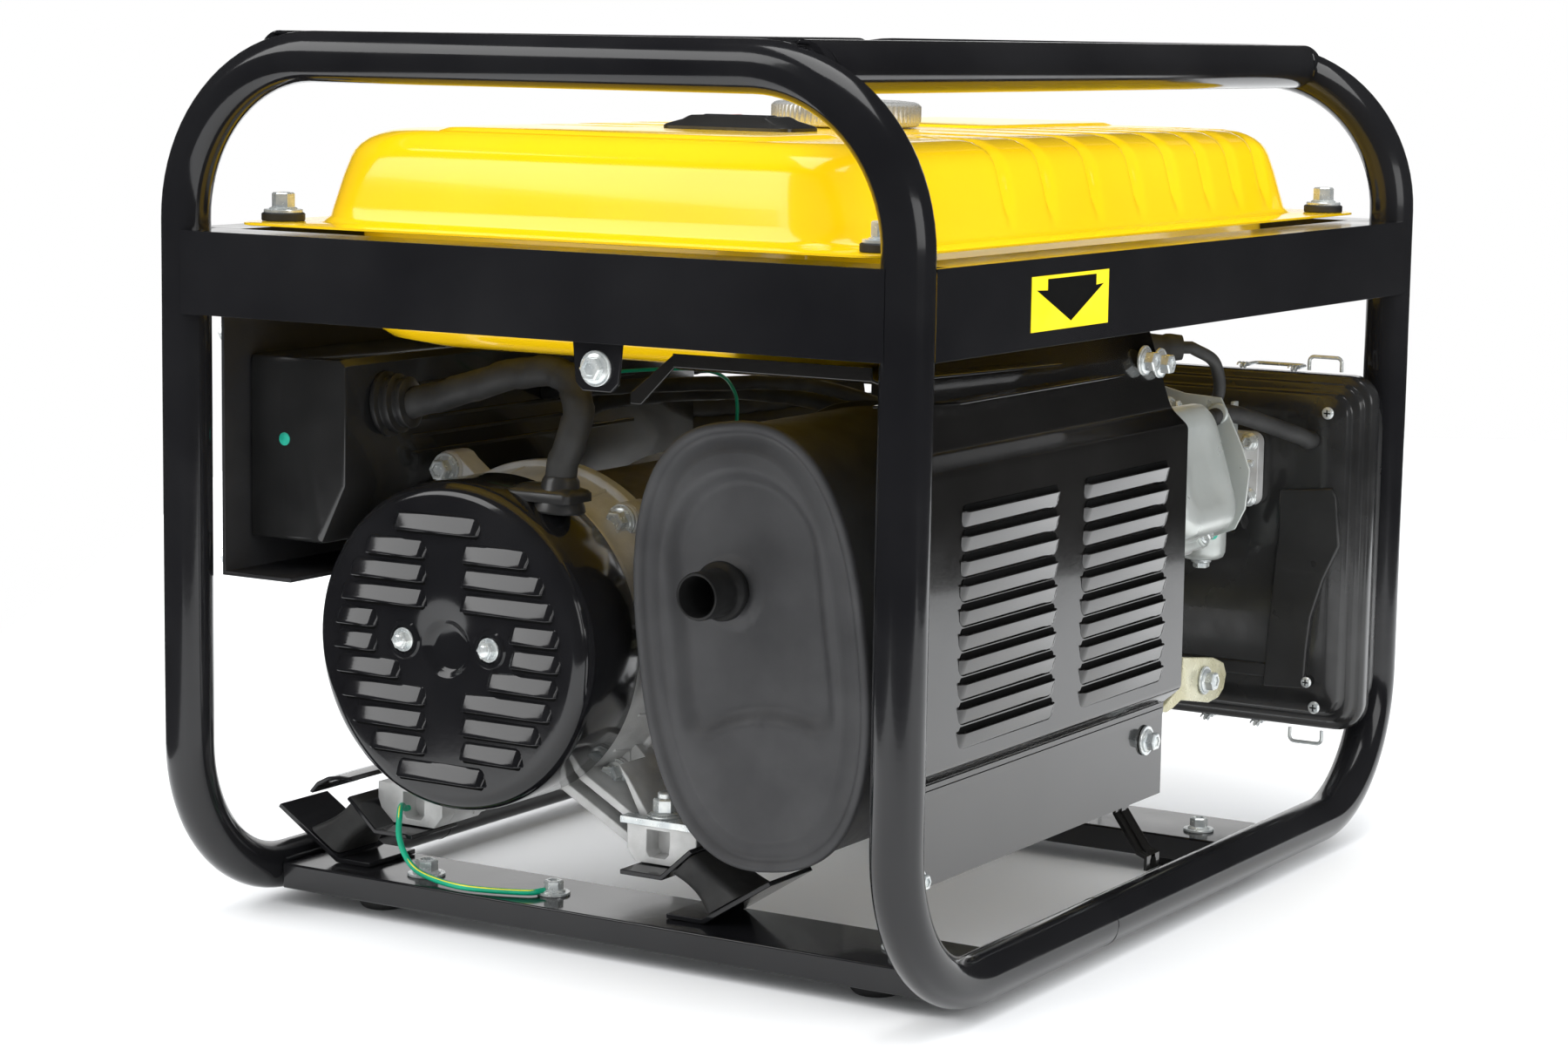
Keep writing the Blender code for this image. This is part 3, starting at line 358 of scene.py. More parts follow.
def object_noise(nodes, links, scale, detail):
    """Noise in object space; scale is in cycles per metre."""
    coord = nodes.new("ShaderNodeTexCoord")
    tex = nodes.new("ShaderNodeTexNoise")
    tex.inputs["Scale"].default_value = scale
    tex.inputs["Detail"].default_value = detail
    links.new(coord.outputs["Object"], tex.inputs["Vector"])
    return tex.outputs["Fac"]


def remap(nodes, links, value, low, high):
    """Noise stretched over its usual span, onto low to high."""
    node = nodes.new("ShaderNodeMapRange")
    node.inputs["From Min"].default_value, node.inputs["From Max"].default_value = GLOSS_SPAN
    node.inputs["To Min"].default_value = low
    node.inputs["To Max"].default_value = high
    links.new(value, node.inputs["Value"])
    return node.outputs["Result"]


def two_tone(nodes, links, value, dark, light):
    """Ramp from a dark to a light colour over the noise."""
    ramp = nodes.new("ShaderNodeValToRGB")
    for stop, position, colour in zip(ramp.color_ramp.elements, TONE_SPAN, (dark, light)):
        stop.position = position
        stop.color = (*colour, 1)
    links.new(value, ramp.inputs["Fac"])
    return ramp.outputs["Color"]


def surface(name, dark, light, rough, metallic=0.0, coat=0.0, patch=14.0, grain=900.0,
            bump=0.05, depth=0.0004, specular=0.5):
    """Principled surface with mottled colour, uneven gloss and a fine relief."""
    mat, nodes, links = blank(name)
    shader = nodes["Principled BSDF"]
    shader.inputs["Metallic"].default_value = metallic
    shader.inputs["Coat Weight"].default_value = coat
    shader.inputs["Coat Roughness"].default_value = COAT_ROUGHNESS
    shader.inputs["Specular IOR Level"].default_value = specular
    clouds = object_noise(nodes, links, patch, 5.0)
    links.new(two_tone(nodes, links, clouds, dark, light), shader.inputs["Base Color"])
    gloss = object_noise(nodes, links, patch * 2.7, 6.0)
    links.new(remap(nodes, links, gloss, rough[0], rough[1]), shader.inputs["Roughness"])
    relief = object_noise(nodes, links, grain, 3.0)
    node = nodes.new("ShaderNodeBump")
    node.inputs["Strength"].default_value = bump
    node.inputs["Distance"].default_value = depth
    links.new(relief, node.inputs["Height"])
    links.new(node.outputs["Normal"], shader.inputs["Normal"])
    return mat


def laminations(name, dark, light):
    """Stacked sheets: fine bands across x with a varnish film."""
    mat = surface(name, dark, light, (0.35, 0.6), metallic=0.6, grain=500, bump=0.1)
    nodes, links = mat.node_tree.nodes, mat.node_tree.links
    coord = nodes.new("ShaderNodeTexCoord")
    wave = nodes.new("ShaderNodeTexWave")
    wave.bands_direction = "X"
    wave.inputs["Scale"].default_value = TURN / (20 * LAMINATION_PITCH)
    wave.inputs["Distortion"].default_value = 0.4
    bump = nodes.new("ShaderNodeBump")
    bump.inputs["Strength"].default_value = 0.5
    bump.inputs["Distance"].default_value = 0.0006
    links.new(coord.outputs["Object"], wave.inputs["Vector"])
    links.new(wave.outputs["Fac"], bump.inputs["Height"])
    links.new(bump.outputs["Normal"], nodes["Principled BSDF"].inputs["Normal"])
    return mat


GLOSS_BLACK = surface("gloss_black_enamel", (0.006, 0.006, 0.007), (0.011, 0.011, 0.012),
                      (0.10, 0.2), coat=0.25, patch=9, grain=260, bump=0.035, depth=0.0006,
                      specular=0.3)
COVER_BLACK = surface("cover_black_enamel", (0.005, 0.005, 0.006), (0.01, 0.01, 0.011),
                      (0.09, 0.16), coat=0.3, patch=16, grain=320, bump=0.03, depth=0.0006,
                      specular=0.35)
SHIELD_BLACK = surface("shield_black_enamel", (0.0045, 0.0042, 0.0038), (0.009, 0.0085, 0.008),
                       (0.12, 0.19), coat=0.65, patch=12, grain=420, bump=0.045, depth=0.0005,
                       specular=0.4)
YELLOW = surface("yellow_enamel", (0.90, 0.555, 0.004), (0.94, 0.61, 0.006), (0.12, 0.2),
                 coat=0.4, patch=5, grain=200, bump=0.025, depth=0.0006, specular=0.3)
MUFFLER_BLACK = surface("matt_heat_black", (0.030, 0.030, 0.032), (0.048, 0.048, 0.05),
                        (0.52, 0.68), patch=20, grain=1600, bump=0.25, depth=0.0003)
CAST = surface("cast_aluminium_skin", (0.50, 0.50, 0.49), (0.70, 0.70, 0.69), (0.30, 0.46),
               metallic=0.35, patch=45, grain=1300, bump=0.35, depth=0.0004)
MACHINED = surface("machined_aluminium", (0.52, 0.52, 0.50), (0.66, 0.66, 0.64), (0.2, 0.34),
                   metallic=0.6, patch=60, grain=2500, bump=0.12, depth=0.0002)
ZINC = surface("zinc_bolt", (0.55, 0.59, 0.60), (0.78, 0.80, 0.78), (0.16, 0.3),
               metallic=0.55, patch=160, grain=2200, bump=0.08, depth=0.0002)
PLATE_ZINC = surface("zinc_plate", (0.44, 0.47, 0.45), (0.58, 0.60, 0.58), (0.26, 0.4),
                     metallic=0.45, patch=18, grain=2200, bump=0.08, depth=0.0002)
YELLOW_ZINC = surface("yellow_zinc_plate", (0.50, 0.47, 0.30), (0.66, 0.64, 0.48),
                      (0.2, 0.35), metallic=0.5, patch=40, grain=2000, bump=0.08)
PIPE_BLACK = surface("outlet_pipe_black", (0.008, 0.008, 0.008), (0.016, 0.016, 0.016),
                     (0.34, 0.5), patch=40, grain=1500, bump=0.15, specular=0.2)
PLASTIC = surface("black_moulding", (0.014, 0.014, 0.014), (0.023, 0.023, 0.023),
                  (0.26, 0.4), patch=22, grain=1400, bump=0.12, depth=0.0003)
SHINY_PLASTIC = surface("shiny_black_moulding", (0.012, 0.012, 0.012), (0.019, 0.019, 0.019),
                        (0.14, 0.26), coat=0.25, patch=22, grain=500, bump=0.05)
PANEL_PLASTIC = surface("panel_moulding", (0.018, 0.018, 0.019), (0.028, 0.028, 0.03),
                        (0.38, 0.55), patch=22, grain=1800, bump=0.22, depth=0.0003)
RUBBER = surface("black_rubber", (0.014, 0.014, 0.014), (0.028, 0.028, 0.027), (0.5, 0.75),
                 patch=35, grain=1100, bump=0.2, depth=0.0004)
GREY_PLASTIC = surface("grey_moulding", (0.17, 0.17, 0.18), (0.22, 0.22, 0.23), (0.4, 0.55),
                       patch=30, grain=1500, bump=0.12)
RED_PLASTIC = surface("red_moulding", (0.42, 0.008, 0.008), (0.55, 0.012, 0.012),
                      (0.2, 0.32), coat=0.3, patch=30, grain=1200, bump=0.05)
# near-black used two ways: as painted shade laid in holes, slots and louvre mouths, and as real
# black ink on the dial and label
SHADE_AND_INK = surface("painted_shade_and_ink", (0.002, 0.002, 0.002), (0.004, 0.004, 0.004), (0.8, 0.95),
               grain=800, bump=0.05, specular=0.1)
LABEL_YELLOW = surface("label_yellow", (0.86, 0.66, 0.0), (0.92, 0.74, 0.01), (0.28, 0.36),
                       patch=60, grain=1500, bump=0.03)
WHITE_INK = surface("white_ink", (0.75, 0.75, 0.74), (0.85, 0.85, 0.84), (0.4, 0.5),
                    patch=80, grain=1500, bump=0.03)
GREEN_DOT = surface("green_paint_mark", (0.0, 0.30, 0.20), (0.02, 0.45, 0.32), (0.35, 0.5),
                    patch=200, grain=1500, bump=0.1)
GLASS = surface("smoked_window", (0.02, 0.02, 0.022), (0.03, 0.03, 0.032), (0.04, 0.08),
                coat=1.0, patch=10, grain=100, bump=0.01)
STATOR = laminations("stator_laminations", (0.10, 0.09, 0.07), (0.22, 0.20, 0.16))
GREEN_SLEEVE = surface("earth_wire_green", (0.0, 0.30, 0.16), (0.0, 0.40, 0.22), (0.3, 0.42),
                       patch=60, grain=1500, bump=0.04)
YELLOW_THREAD = surface("earth_wire_yellow", (0.68, 0.62, 0.02), (0.80, 0.74, 0.03),
                        (0.3, 0.42), patch=60, grain=1500, bump=0.04)


# ---------------------------------------------------------------- tube frame
def hoop_path(side):
    """Centre line of one hoop, from seam to seam over both posts."""
    x, stub = side * POST_X, SEAM_X + side * 0.4
    corners = [(stub, -POST_Y, RAIL_LOW_Z), (x, -POST_Y, RAIL_LOW_Z), (x, -POST_Y, RAIL_TOP_Z),
               (x, POST_Y, RAIL_TOP_Z), (x, POST_Y, RAIL_LOW_Z), (stub, POST_Y, RAIL_LOW_Z)]
    return bend_path(corners, (BEND_LOW, BEND_TOP, BEND_TOP, BEND_LOW))


def build_frame():
    for side, node in ((1, "hoop_alternator_end"), (-1, "hoop_recoil_end")):
        bm = bmesh.new()
        tube(bm, hoop_path(side), TUBE_R, 40)
        piece(node + "_tube", bm, GLOSS_BLACK, hides=(node,), smooth=50)
    for side, node in ((1, "top_rail_muffler_side"), (-1, "top_rail_panel_side")):
        bm = bmesh.new()
        reach, y = POST_X - 3, side * TOP_RAIL_Y
        tube(bm, [(-reach, y, RAIL_TOP_Z), (reach, y, RAIL_TOP_Z)], TUBE_R - 0.1, 40)
        piece(node + "_tube", bm, GLOSS_BLACK, hides=(node,), smooth=50)
    bm = bmesh.new()
    for sx in (1, -1):
        for sy in (1, -1):
            saddle = []
            for k in range(48):
                a = TURN * k / 48
                x = POST_X - TUBE_R * abs(math.cos(a)) - 0.4
                saddle.append((sx * x, sy * TOP_RAIL_Y + TUBE_R * math.cos(a),
                               RAIL_TOP_Z + (TUBE_R - 1.3) * math.sin(a)))
            weld_bead(bm, saddle, 1.0, closed=True)
        for sy in (1, -1):
            x, y = CHANNEL_X[sx], sy * (POST_Y - TUBE_R)
            weld_bead(bm, [(x + t, y, CHANNEL_TOP_Z + 0.8) for t in range(-28, 29, 3)], 1.6)
    for sy in (1, -1):
        weld_bead(bm, circle_path((SEAM_X, sy * POST_Y, RAIL_LOW_Z), TO_END, TUBE_R - 0.4,
                                  48), 0.7, closed=True)
    piece("frame_welds", bm, GLOSS_BLACK)
    for node in ("belt_alternator_end", "belt_recoil_end", "belt_muffler_side",
                 "belt_panel_side"):
        refined(node, GLOSS_BLACK, bevel=0.9)
    for node in ("channel_alternator_end", "channel_recoil_end"):
        refined(node, GLOSS_BLACK, bevel=1.0)
    for node in ("foot_alternator_muffler", "foot_alternator_panel", "foot_recoil_muffler",
                 "foot_recoil_panel"):
        refined(node, RUBBER, bevel=0.5)


TAB_X = POST_X + 3.6


def build_frame_bolts():
    bm = bmesh.new()
    low = CHANNEL_TOP_Z
    hex_bolt(bm, (206, -117, low), UP, 5.6, 7.0, 10.0)
    for x, y in ((202, -39), (196, 160), (CHANNEL_X[-1] + 8, 172), (CHANNEL_X[-1] + 8, -172)):
        hex_bolt(bm, (x, y, low), UP, 4.6, 6.0, 8.5)
    hex_bolt(bm, (TAB_X + 1.2, 45, 304), TO_END, 5.4, 5.0, 8.5)
    piece("frame_bolts", bm, ZINC)
    bm = bmesh.new()
    outline = [(31, 324), (31, 318), (33, 297), (37, 293), (53, 293), (57, 297), (59, 318),
               (59, 324)]
    prism(bm, outline, "x", (TAB_X - 1.2, TAB_X + 1.2))
    piece("belt_tab", bm, GLOSS_BLACK, bevel=0.6)


def arrow_label():
    """Plain yellow plate with a black arrow on the side belt."""
    y = POST_Y + BELT_OUT
    bm = bmesh.new()
    skin(bm, [[(x, h, z) for x, z in ((189, 324), (189, 350), (108, 350), (108, 324))]
              for h in (y + 0.02, y + 0.25)])
    piece("arrow_label_plate", bm, LABEL_YELLOW, smooth=20)
    bm = bmesh.new()
    shape = [(172.8, 348.3), (121.8, 348.3), (121.8, 343), (113.7, 343.5), (148, 327.4),
             (184, 343.5), (172.8, 343)]
    prism(bm, shape, "y", (y + 0.2, y + 0.36))
    piece("arrow_label_mark", bm, SHADE_AND_INK, smooth=20)


# ---------------------------------------------------------------- fuel tank
RIB_VALLEYS = (104, 58, 7, -43, -89, -131, -169, -206)
RIB_DEPTH = 3.2
RIB_CREASE = 3.9


def rib_dip(x):
    """How far the pressed ribs sink at x: 0 on a crest, 1 in a valley."""
    return max(math.exp(-((x - v) / RIB_CREASE) ** 2) for v in RIB_VALLEYS)


def ease(low, high, value):
    t = min(1.0, max(0.0, (value - low) / (high - low)))
    return t * t * (3 - 2 * t)


def tank_outline(half_x, half_y, radius):
    return [(x, y + TANK_MID_Y) for x, y in rounded_rect(half_x, half_y, radius, 12, (260, 40))]


def tank_ring(half_x, half_y, radius, z):
    """One outline of the tank's upper shell, with the ribs pressed into its long sides."""
    points = []
    for x, y in rounded_rect(half_x, half_y, radius, 12, (260, 40)):
        dip = rib_dip(x) * RIB_DEPTH
        side = ease(60, 86, abs(y))
        lift = ease(368, 384, z)
        flat = ease(403, 409.5, z)
        push = dip * side * lift
        crown = 1.2 * (1 - (x / 262) ** 2) * (1 - (y / 165) ** 2) if z > 409 else 0.0
        points.append((x, y + TANK_MID_Y - math.copysign(push * (1 - flat), y),
                       z - push * flat * 0.8 - 1.0 + crown))
    return points


def build_tank():
    bm = bmesh.new()
    loops = [[(x, y, z) for x, y in tank_outline(hx, hy, r)]
             for hx, hy, r, z in ((206, 122, 46, 300.0), (217, 133, 44, 300.8),
                                  (230, 146, 42, 304.5), (237, 153, 40, 311),
                                  (239.5, 155.5, 40, 322), (240, 156, 40, FLANGE_Z - 2),
                                  (242, 158, 38, FLANGE_Z), (279.5, 184.5, 12, FLANGE_Z),
                                  (281, 186, 13.5, FLANGE_Z + 0.3),
                                  (281, 186, 13.5, FLANGE_Z + 1.4),
                                  (279.5, 184.5, 12, FLANGE_Z + 1.7),
                                  (262, 165, 34, FLANGE_Z + 1.7),
                                  (260, 163, 34, FLANGE_Z + 2.2),
                                  (258.8, 161.8, 34, FLANGE_Z + 3.6))]
    wall = ((258, 161, 367), (256.6, 159.6, 373), (255, 158, 380), (253.4, 156.4, 387),
            (252, 155, 392), (250.8, 153.8, 396.4), (249.4, 152.4, 400), (247.2, 150.2, 403.2),
            (244.4, 147.4, 405.9), (241, 144, 408), (237, 140, 409.5), (232, 135, 410.4),
            (224, 127, 410.6), (210, 113, 410.6), (194, 97, 410.6), (180, 83, 410.6),
            (164, 67, 410.6), (144, 47, 410.6), (124, 27, 410.6), (108, 11, 410.6),
            (100, 3, 410.6))
    loops += [tank_ring(hx, hy, min(36, hy - 0.5), z) for hx, hy, z in wall]
    skin(bm, loops)
    turned(bm, [(30, 0), (30, 1.4), (27, 2.2), (24, 2.4), (24, 5), (21, 5), (21, 0)],
           (*FILLER, TANK_TOP_Z - 0.5), UP, 64, ring=True)
    piece("fuel_tank_shell", bm, YELLOW, hides=("fuel_tank",), smooth=50)
    bm = bmesh.new()
    z = TANK_TOP_Z - 1.2
    for x, hx, hy in ((-142.0, 84, 62), (190.0, 44, 96)):
        skin(bm, [[(x + a, b, z + h) for a, b in rounded_rect(hx - i, hy - i, 14, 8)]
                  for i, h in ((0, 0), (0, 1.2), (3, 2.6), (6, 3.0))])
    piece("tank_pressings", bm, YELLOW, smooth=50)


def build_tank_fittings():
    z = TANK_TOP_Z + 1.2
    bm = bmesh.new()
    profile = [(25, 0), (37.5, 0), (39.0, 0.6), (39.6, 1.6), (39.6, 2.2), (40.4, 2.8),
               (40.4, 11), (39.6, 11.8), (38.6, 12.6), (37, 13.2), (30, 13.9), (18, 14.4),
               (0.1, 14.6)]
    turned(bm, profile, (*FILLER, z), UP, 288, knurl=(72, 0.9, 2.5, 11.4))
    piece("fuel_cap_shell", bm, MACHINED, "fuel_cap_body", ("fuel_cap",), 40)
    bm = bmesh.new()
    gx, gy, top = 98.0, 2.0, TANK_TOP_Z + 0.6
    body = ((16.4, 39.2, 0), (16.4, 39.2, 1.6), (15.4, 38.2, 2.6), (12.6, 30, 5.0),
            (12, 27, 6.6), (11.0, 25.6, 7.2))
    skin(bm, [[(gx + a, gy + b, top + h) for a, b in rounded_rect(hx, hy, 6, 8)]
              for hx, hy, h in body])
    piece("fuel_gauge_body", bm, SHINY_PLASTIC, hides=("fuel_gauge",),
          smooth=40)
    bm = bmesh.new()
    skin(bm, [[(gx + a, gy + b, top + h) for a, b in rounded_rect(6.5 - i, 20 - i, 4, 8)]
              for i, h in ((0, 7.0), (0, 7.5), (0.7, 7.8))])
    piece("fuel_gauge_window", bm, GLASS, smooth=40)
    bm = bmesh.new()
    block(bm, (gx - 4.2, gx + 4.2), (gy - 3, gy - 1.6), (top + 7.78, top + 7.86))
    piece("fuel_gauge_pointer", bm, RED_PLASTIC)
    bolts, bushes = bmesh.new(), bmesh.new()
    for sx, sy in CORNERS:
        at = (sx * TANK_BOLT[0], TANK_MID_Y + sy * TANK_BOLT[1], FLANGE_Z + 1.8)
        turned(bushes, [(5, 0), (10.6, 0), (11, 0.5), (11, 3.5), (10.4, 4), (5, 4)], at, UP, 36,
               ring=True)
        turned(bolts, [(4, 4), (9.6, 4), (9.9, 4.4), (9.9, 5.4), (9.6, 5.8), (4, 5.8)], at, UP,
               36, ring=True)
        hex_bolt(bolts, (at[0], at[1], at[2] + 5.8), UP, 5.4, 8.4, 0)
    piece("tank_bushes", bushes, RUBBER)
    piece("tank_bolts", bolts, ZINC)


# ---------------------------------------------------------------- alternator
def turned_x(bm, profile, steps, ring=False):
    """Revolve (radius, x) points about the crankshaft line."""
    turned(bm, profile, (0, CRANK_Y, CRANK_Z), TO_END, steps, ring)


def round_crank(radius, count, phase=0.0, start=0.0):
    """Evenly spaced (y, z) points on a circle about the crankshaft line."""
    angles = (TURN * (k + phase) / count + start for k in range(count))
    return [(CRANK_Y + radius * math.cos(a), CRANK_Z + radius * math.sin(a)) for a in angles]


LOUVRE_ROWS = (197.0, 184.7, 172.2, 159.2, 146.8, 134.3, 122.0, 109.5, 96.9)
ROW_INNER = {3: (-118.8, -37.1), 4: (-118.8, -37.1), 5: (-104.4, -50.8)}
LOUVRE_REACH = 70.0
COVER_NUTS = ((-102.5, 154.0), (-49.5, 154.0))


def build_alternator_cover():
    face = COVER_X[1] - 0.4
    skirt, rim = COVER_R, 9.0
    profile = [(skirt - 1.8, COVER_X[0]), (skirt - 0.3, COVER_X[0]), (skirt, COVER_X[0] + 0.5)]
    for i in range(13):
        a = math.pi / 2 * i / 12
        profile.append((skirt - rim + rim * math.cos(a), face - 11 + 11 * math.sin(a)))
    profile += [(72, face), (40, face), (15.5, face), (14.6, face - 0.4), (12.5, face - 2.6),
                (10.8, face - 3.6), (9, face - 4), (0.2, face - 4.1)]
    inside = [(0.2, face - 6), (70, face - 2), (skirt - 4, face - 8), (skirt - 1.8, face - 14)]
    bm = bmesh.new()
    turned_x(bm, profile + inside + [(skirt - 1.8, COVER_X[0] + 0.01)], 128)
    spans = []
    for k, lip in enumerate(LOUVRE_ROWS):
        reach = math.sqrt(LOUVRE_REACH ** 2 - (lip + 3.5 - CRANK_Z) ** 2)
        left, right = ROW_INNER.get(k, (-88.0, -67.0))
        spans += [(CRANK_Y - reach, left, lip), (right, CRANK_Y + reach, lip)]
    spans += [(-109.0, -55.0, 210.6), (-106.6, -51.3, 84.0)]
    # each louvre's mouth carries a strip of painted shade in the near-black second material
    for y0, y1, lip in spans:
        louvre(bm, (face, (y0 + y1) / 2, lip), (0, 1, 0), UP, TO_END, y1 - y0, 9.4, 4.4,
               slot_shade=2.0)
    for y, z in COVER_NUTS:
        turned(bm, [(7.0, 0), (7.6, 1.0), (9.2, 1.0), (10.2, 0)], (face - 0.05, y, z), TO_END,
               40, ring=True)
    piece("alternator_cover_shell", bm, [COVER_BLACK, SHADE_AND_INK],
          hides=("alternator_cover",), smooth=40)
    bm = bmesh.new()
    for y, z in COVER_NUTS:
        at = (face, y, z)
        turned(bm, [(2, 0), (5.9, 0), (6.1, 0.3), (6.1, 1.0), (5.8, 1.3), (2, 1.3)], at, TO_END,
               32, ring=True)
        turned(bm, [(4.3, 1.2), (4.8, 1.4), (4.8, 4.2), (4.2, 4.8)], at, TO_END, 6)
        turned(bm, [(3.6, 4.6), (3.4, 5.2), (2.6, 5.8), (1.4, 6.1), (0.1, 6.2)], at, TO_END, 24)
    piece("cover_nuts", bm, ZINC, smooth=35)


BELL_MOUNT_X, BELL_MOUNT_Y = 192, {1: 36.0, -1: -150.0}
ENGINE_MOUNT_OUT = 80
BELL_BOLTS = ((-133, 231), (-22, 213), (-24, 81), (-130, 79))


def build_end_bell():
    bm = bmesh.new()
    body = [(58, 150), (86, 150), (87, 151), (87, 158), (86, 159), (83.5, 160), (82, 168),
            (80.5, 176), (79, 179), (79, 186), (77.5, 187.5), (76, 195.4), (58, 195.4)]
    turned_x(bm, body, 96, ring=True)
    for low, high in zip(round_crank(83, 20, 0.5), round_crank(79.3, 20, 0.5)):
        tube(bm, [(159, *low), (177, *high)], 1.5, 8)
    for y, z in BELL_BOLTS:
        out = Vector((0, y - CRANK_Y, z - CRANK_Z)).normalized()
        side = Vector((0, -out.z, out.y))
        reach = math.hypot(y - CRANK_Y, z - CRANK_Z)
        root = Vector((0, CRANK_Y, CRANK_Z)) + out * 74
        tip = Vector((0, CRANK_Y, CRANK_Z)) + out * reach
        outline = [root + side * 17, root + side * 15 + out * 5, tip + side * 9.5 - out * 1]
        outline += [tip + (side * math.cos(t) + out * math.sin(t)) * 9.5
                    for t in (math.pi * i / 8 for i in range(1, 8))]
        outline += [tip - side * 9.5 - out * 1, root - side * 15 + out * 5, root - side * 17]
        skin(bm, [[p + Vector((x, 0, 0)) for p in outline] for x in (150.5, 166)])
        turned(bm, [(9.2, 0), (9.2, 1.6), (8.4, 2.4), (7.4, 2.6), (4, 2.6)],
               (165.5, y, z), TO_END, 28)
    for sy in (1, -1):
        bell_foot(bm, sy)
    piece("end_bell_casting", bm, CAST, hides=("end_bell",), smooth=38,
          bevel=0.7)
    bm = bmesh.new()
    for y, z in BELL_BOLTS:
        hex_bolt(bm, (168, y, z), TO_END, 5.4, 7.0, 8.6)
    block(bm, (158, 196.4), (-2, 43), (65.8, 67.6))
    block(bm, (195.8, 197.2), (-2, 43), (64.0, 67.6))
    for y, z in ((18, 67.6), (-138, 66.2)):
        hex_bolt(bm, (186, y, z), UP, 5.8, 8.0, 9.4)
        turned(bm, [(4.0, 0), (4.0, 3), (3.4, 3.6), (0.1, 3.6)], (186, y, z + 9), UP, 20)
    piece("end_bell_bolts", bm, ZINC, bevel=0.25)


def pocketed(bm, outer, inner, back, floor, face):
    """Casting block with a recess in its face; outlines in (y, z), depths along x."""
    prism(bm, outer, "x", (back, floor + 0.1))
    skin(bm, [[(x, *p) for p in line]
              for line, x in ((outer, floor), (outer, face), (inner, face), (inner, floor))],
         ring=True)


def bell_foot(bm, sy):
    """Foot casting: a ribbed arm down from the bell to a pocketed boss on the mount."""
    def place(points):
        return [(BELL_MOUNT_Y[sy] + sy * (a - BELL_MOUNT_Y[1]), z) for a, z in points]
    boss = [(1, 65.6), (1, 51), (6, 44.6), (33, 44.6), (41, 51.5), (43, 57), (43, 65.6)]
    hollow = [(13, 62), (13, 50.5), (15, 47.8), (24, 47.8), (26, 50), (26.6, 54), (26.6, 62)]
    pocketed(bm, place(boss), place(hollow), 156, 184, 195.4)
    if sy > 0:
        arm = [(-38, 101), (-14, 97), (-2, 86), (12, 65.4), (3, 62), (3, 46), (-6, 49), (-46, 76)]
        ribs = ([(-46, 76), (-44, 81), (3, 54.5), (3, 49)],
                [(-42, 86.5), (-40, 91), (3, 66.5), (3, 61.5)],
                [(-8, 92), (-2, 86), (12, 65.4), (6, 65.4)])
    else:
        arm = [(-106, 76), (-112, 101), (-134, 94), (-150, 66), (-117, 47)]
        ribs = ([(-106, 76), (-110, 79), (-120, 60), (-117, 54)],
                [(-130, 95), (-134, 94), (-150, 66), (-144, 66)])
    prism(bm, arm, "x", (154, 165))
    for rib in ribs:
        prism(bm, rib, "x", (164.5, 190))


def build_alternator_rest():
    bm = bmesh.new()
    core = [(52, 22), (74.2, 22), (75, 22.8), (75, 148.9), (74.2, 149.7), (52, 149.7)]
    turned_x(bm, core, 96, ring=True)
    for y, z in round_crank(75, 4, 0.5):
        tube(bm, [(22.5, y, z), (149.2, y, z)], 5, 16)
    piece("stator_stack", bm, STATOR, hides=("stator_core",), smooth=40)
    bm = bmesh.new()
    ring = [(16, -49.4), (58, -49.4), (60, -48.6), (62, -36), (66, -20), (73, 0), (78, 8),
            (79, 10), (79, 21), (78.4, 21.7), (60, 21.7), (50, -10), (16, -36)]
    turned_x(bm, ring, 96, ring=True)
    for low, high in zip(round_crank(60, 12), round_crank(77, 12)):
        tube(bm, [(-46, *low), (9, *high)], 2.2, 10)
    piece("adaptor_casting", bm, CAST, hides=("engine_adaptor",), smooth=38)
    recolour(STATOR, "crankshaft_rotor")
    recolour(CAST, "flywheel")


def build_mounts():
    low, t = CHANNEL_TOP_Z + GAP, 2.5
    for node, x, y, side, top in (
            ("mount_alternator_muffler", BELL_MOUNT_X, BELL_MOUNT_Y[1], 1, 44.0),
            ("mount_alternator_panel", BELL_MOUNT_X, BELL_MOUNT_Y[-1], -1, 44.0),
            ("mount_engine_muffler", CHANNEL_X[-1], CRANK_Y + ENGINE_MOUNT_OUT, 1, 45.7),
            ("mount_engine_panel", CHANNEL_X[-1], CRANK_Y - ENGINE_MOUNT_OUT, -1, 45.7)):
        bm = bmesh.new()
        rest = [(0, low), (22, low), (61, low + 25), (59.6, low + 27), (20.8, low + t),
                (0, low + t)]
        seat = [(-28, top - t), (-3, top - t), (15, top + 13.8), (13.2, top + 15.5), (-4, top),
                (-28, top)]
        guard = [(11, 67.6), (13, 69.6), (20, 69.6), (28, 68), (35, 64.4), (40, 58.8), (38, 58),
                 (34, 62.4), (27, 66), (19, 67.6)]
        lines = [rest, seat] + ([guard] if node == "mount_alternator_panel" else [])
        for line in lines:
            prism(bm, [(y + side * a, h) for a, h in line], "x", (x - 20, x + 20))
        piece(node + "_plates", bm, GLOSS_BLACK, bevel=0.5)
        bm = bmesh.new()
        loops = []
        for i in range(11):
            k = i / 10
            waist = 1.8 * math.sin(math.pi * k)
            mid = Vector((7.9, top + 6.6)).lerp(Vector((31.6, low + 10.2)), k)
            run = Vector((0.72, 0.69)).lerp(Vector((0.842, 0.539)), k)
            half = 8.6 + 2.4 * k - waist
            loops.append([(x + a, y + side * (mid.x + run.x * b), mid.y + run.y * b)
                          for a, b in rounded_rect(18.8 - waist, half, 4, 5)])
        skin(bm, loops)
        piece(node + "_block", bm, RUBBER, hides=(node,), smooth=50)


# ---------------------------------------------------------------- exhaust
def oval_point(t, inset):
    """Point at turn angle t on the muffler's squarish oval, drawn in by inset."""
    a, b = MUFFLER_HALF[0] - inset, MUFFLER_HALF[1] - inset
    return (a * math.copysign(abs(math.cos(t)) ** 0.8, math.cos(t)),
            b * math.copysign(abs(math.sin(t)) ** 0.8, math.sin(t)))


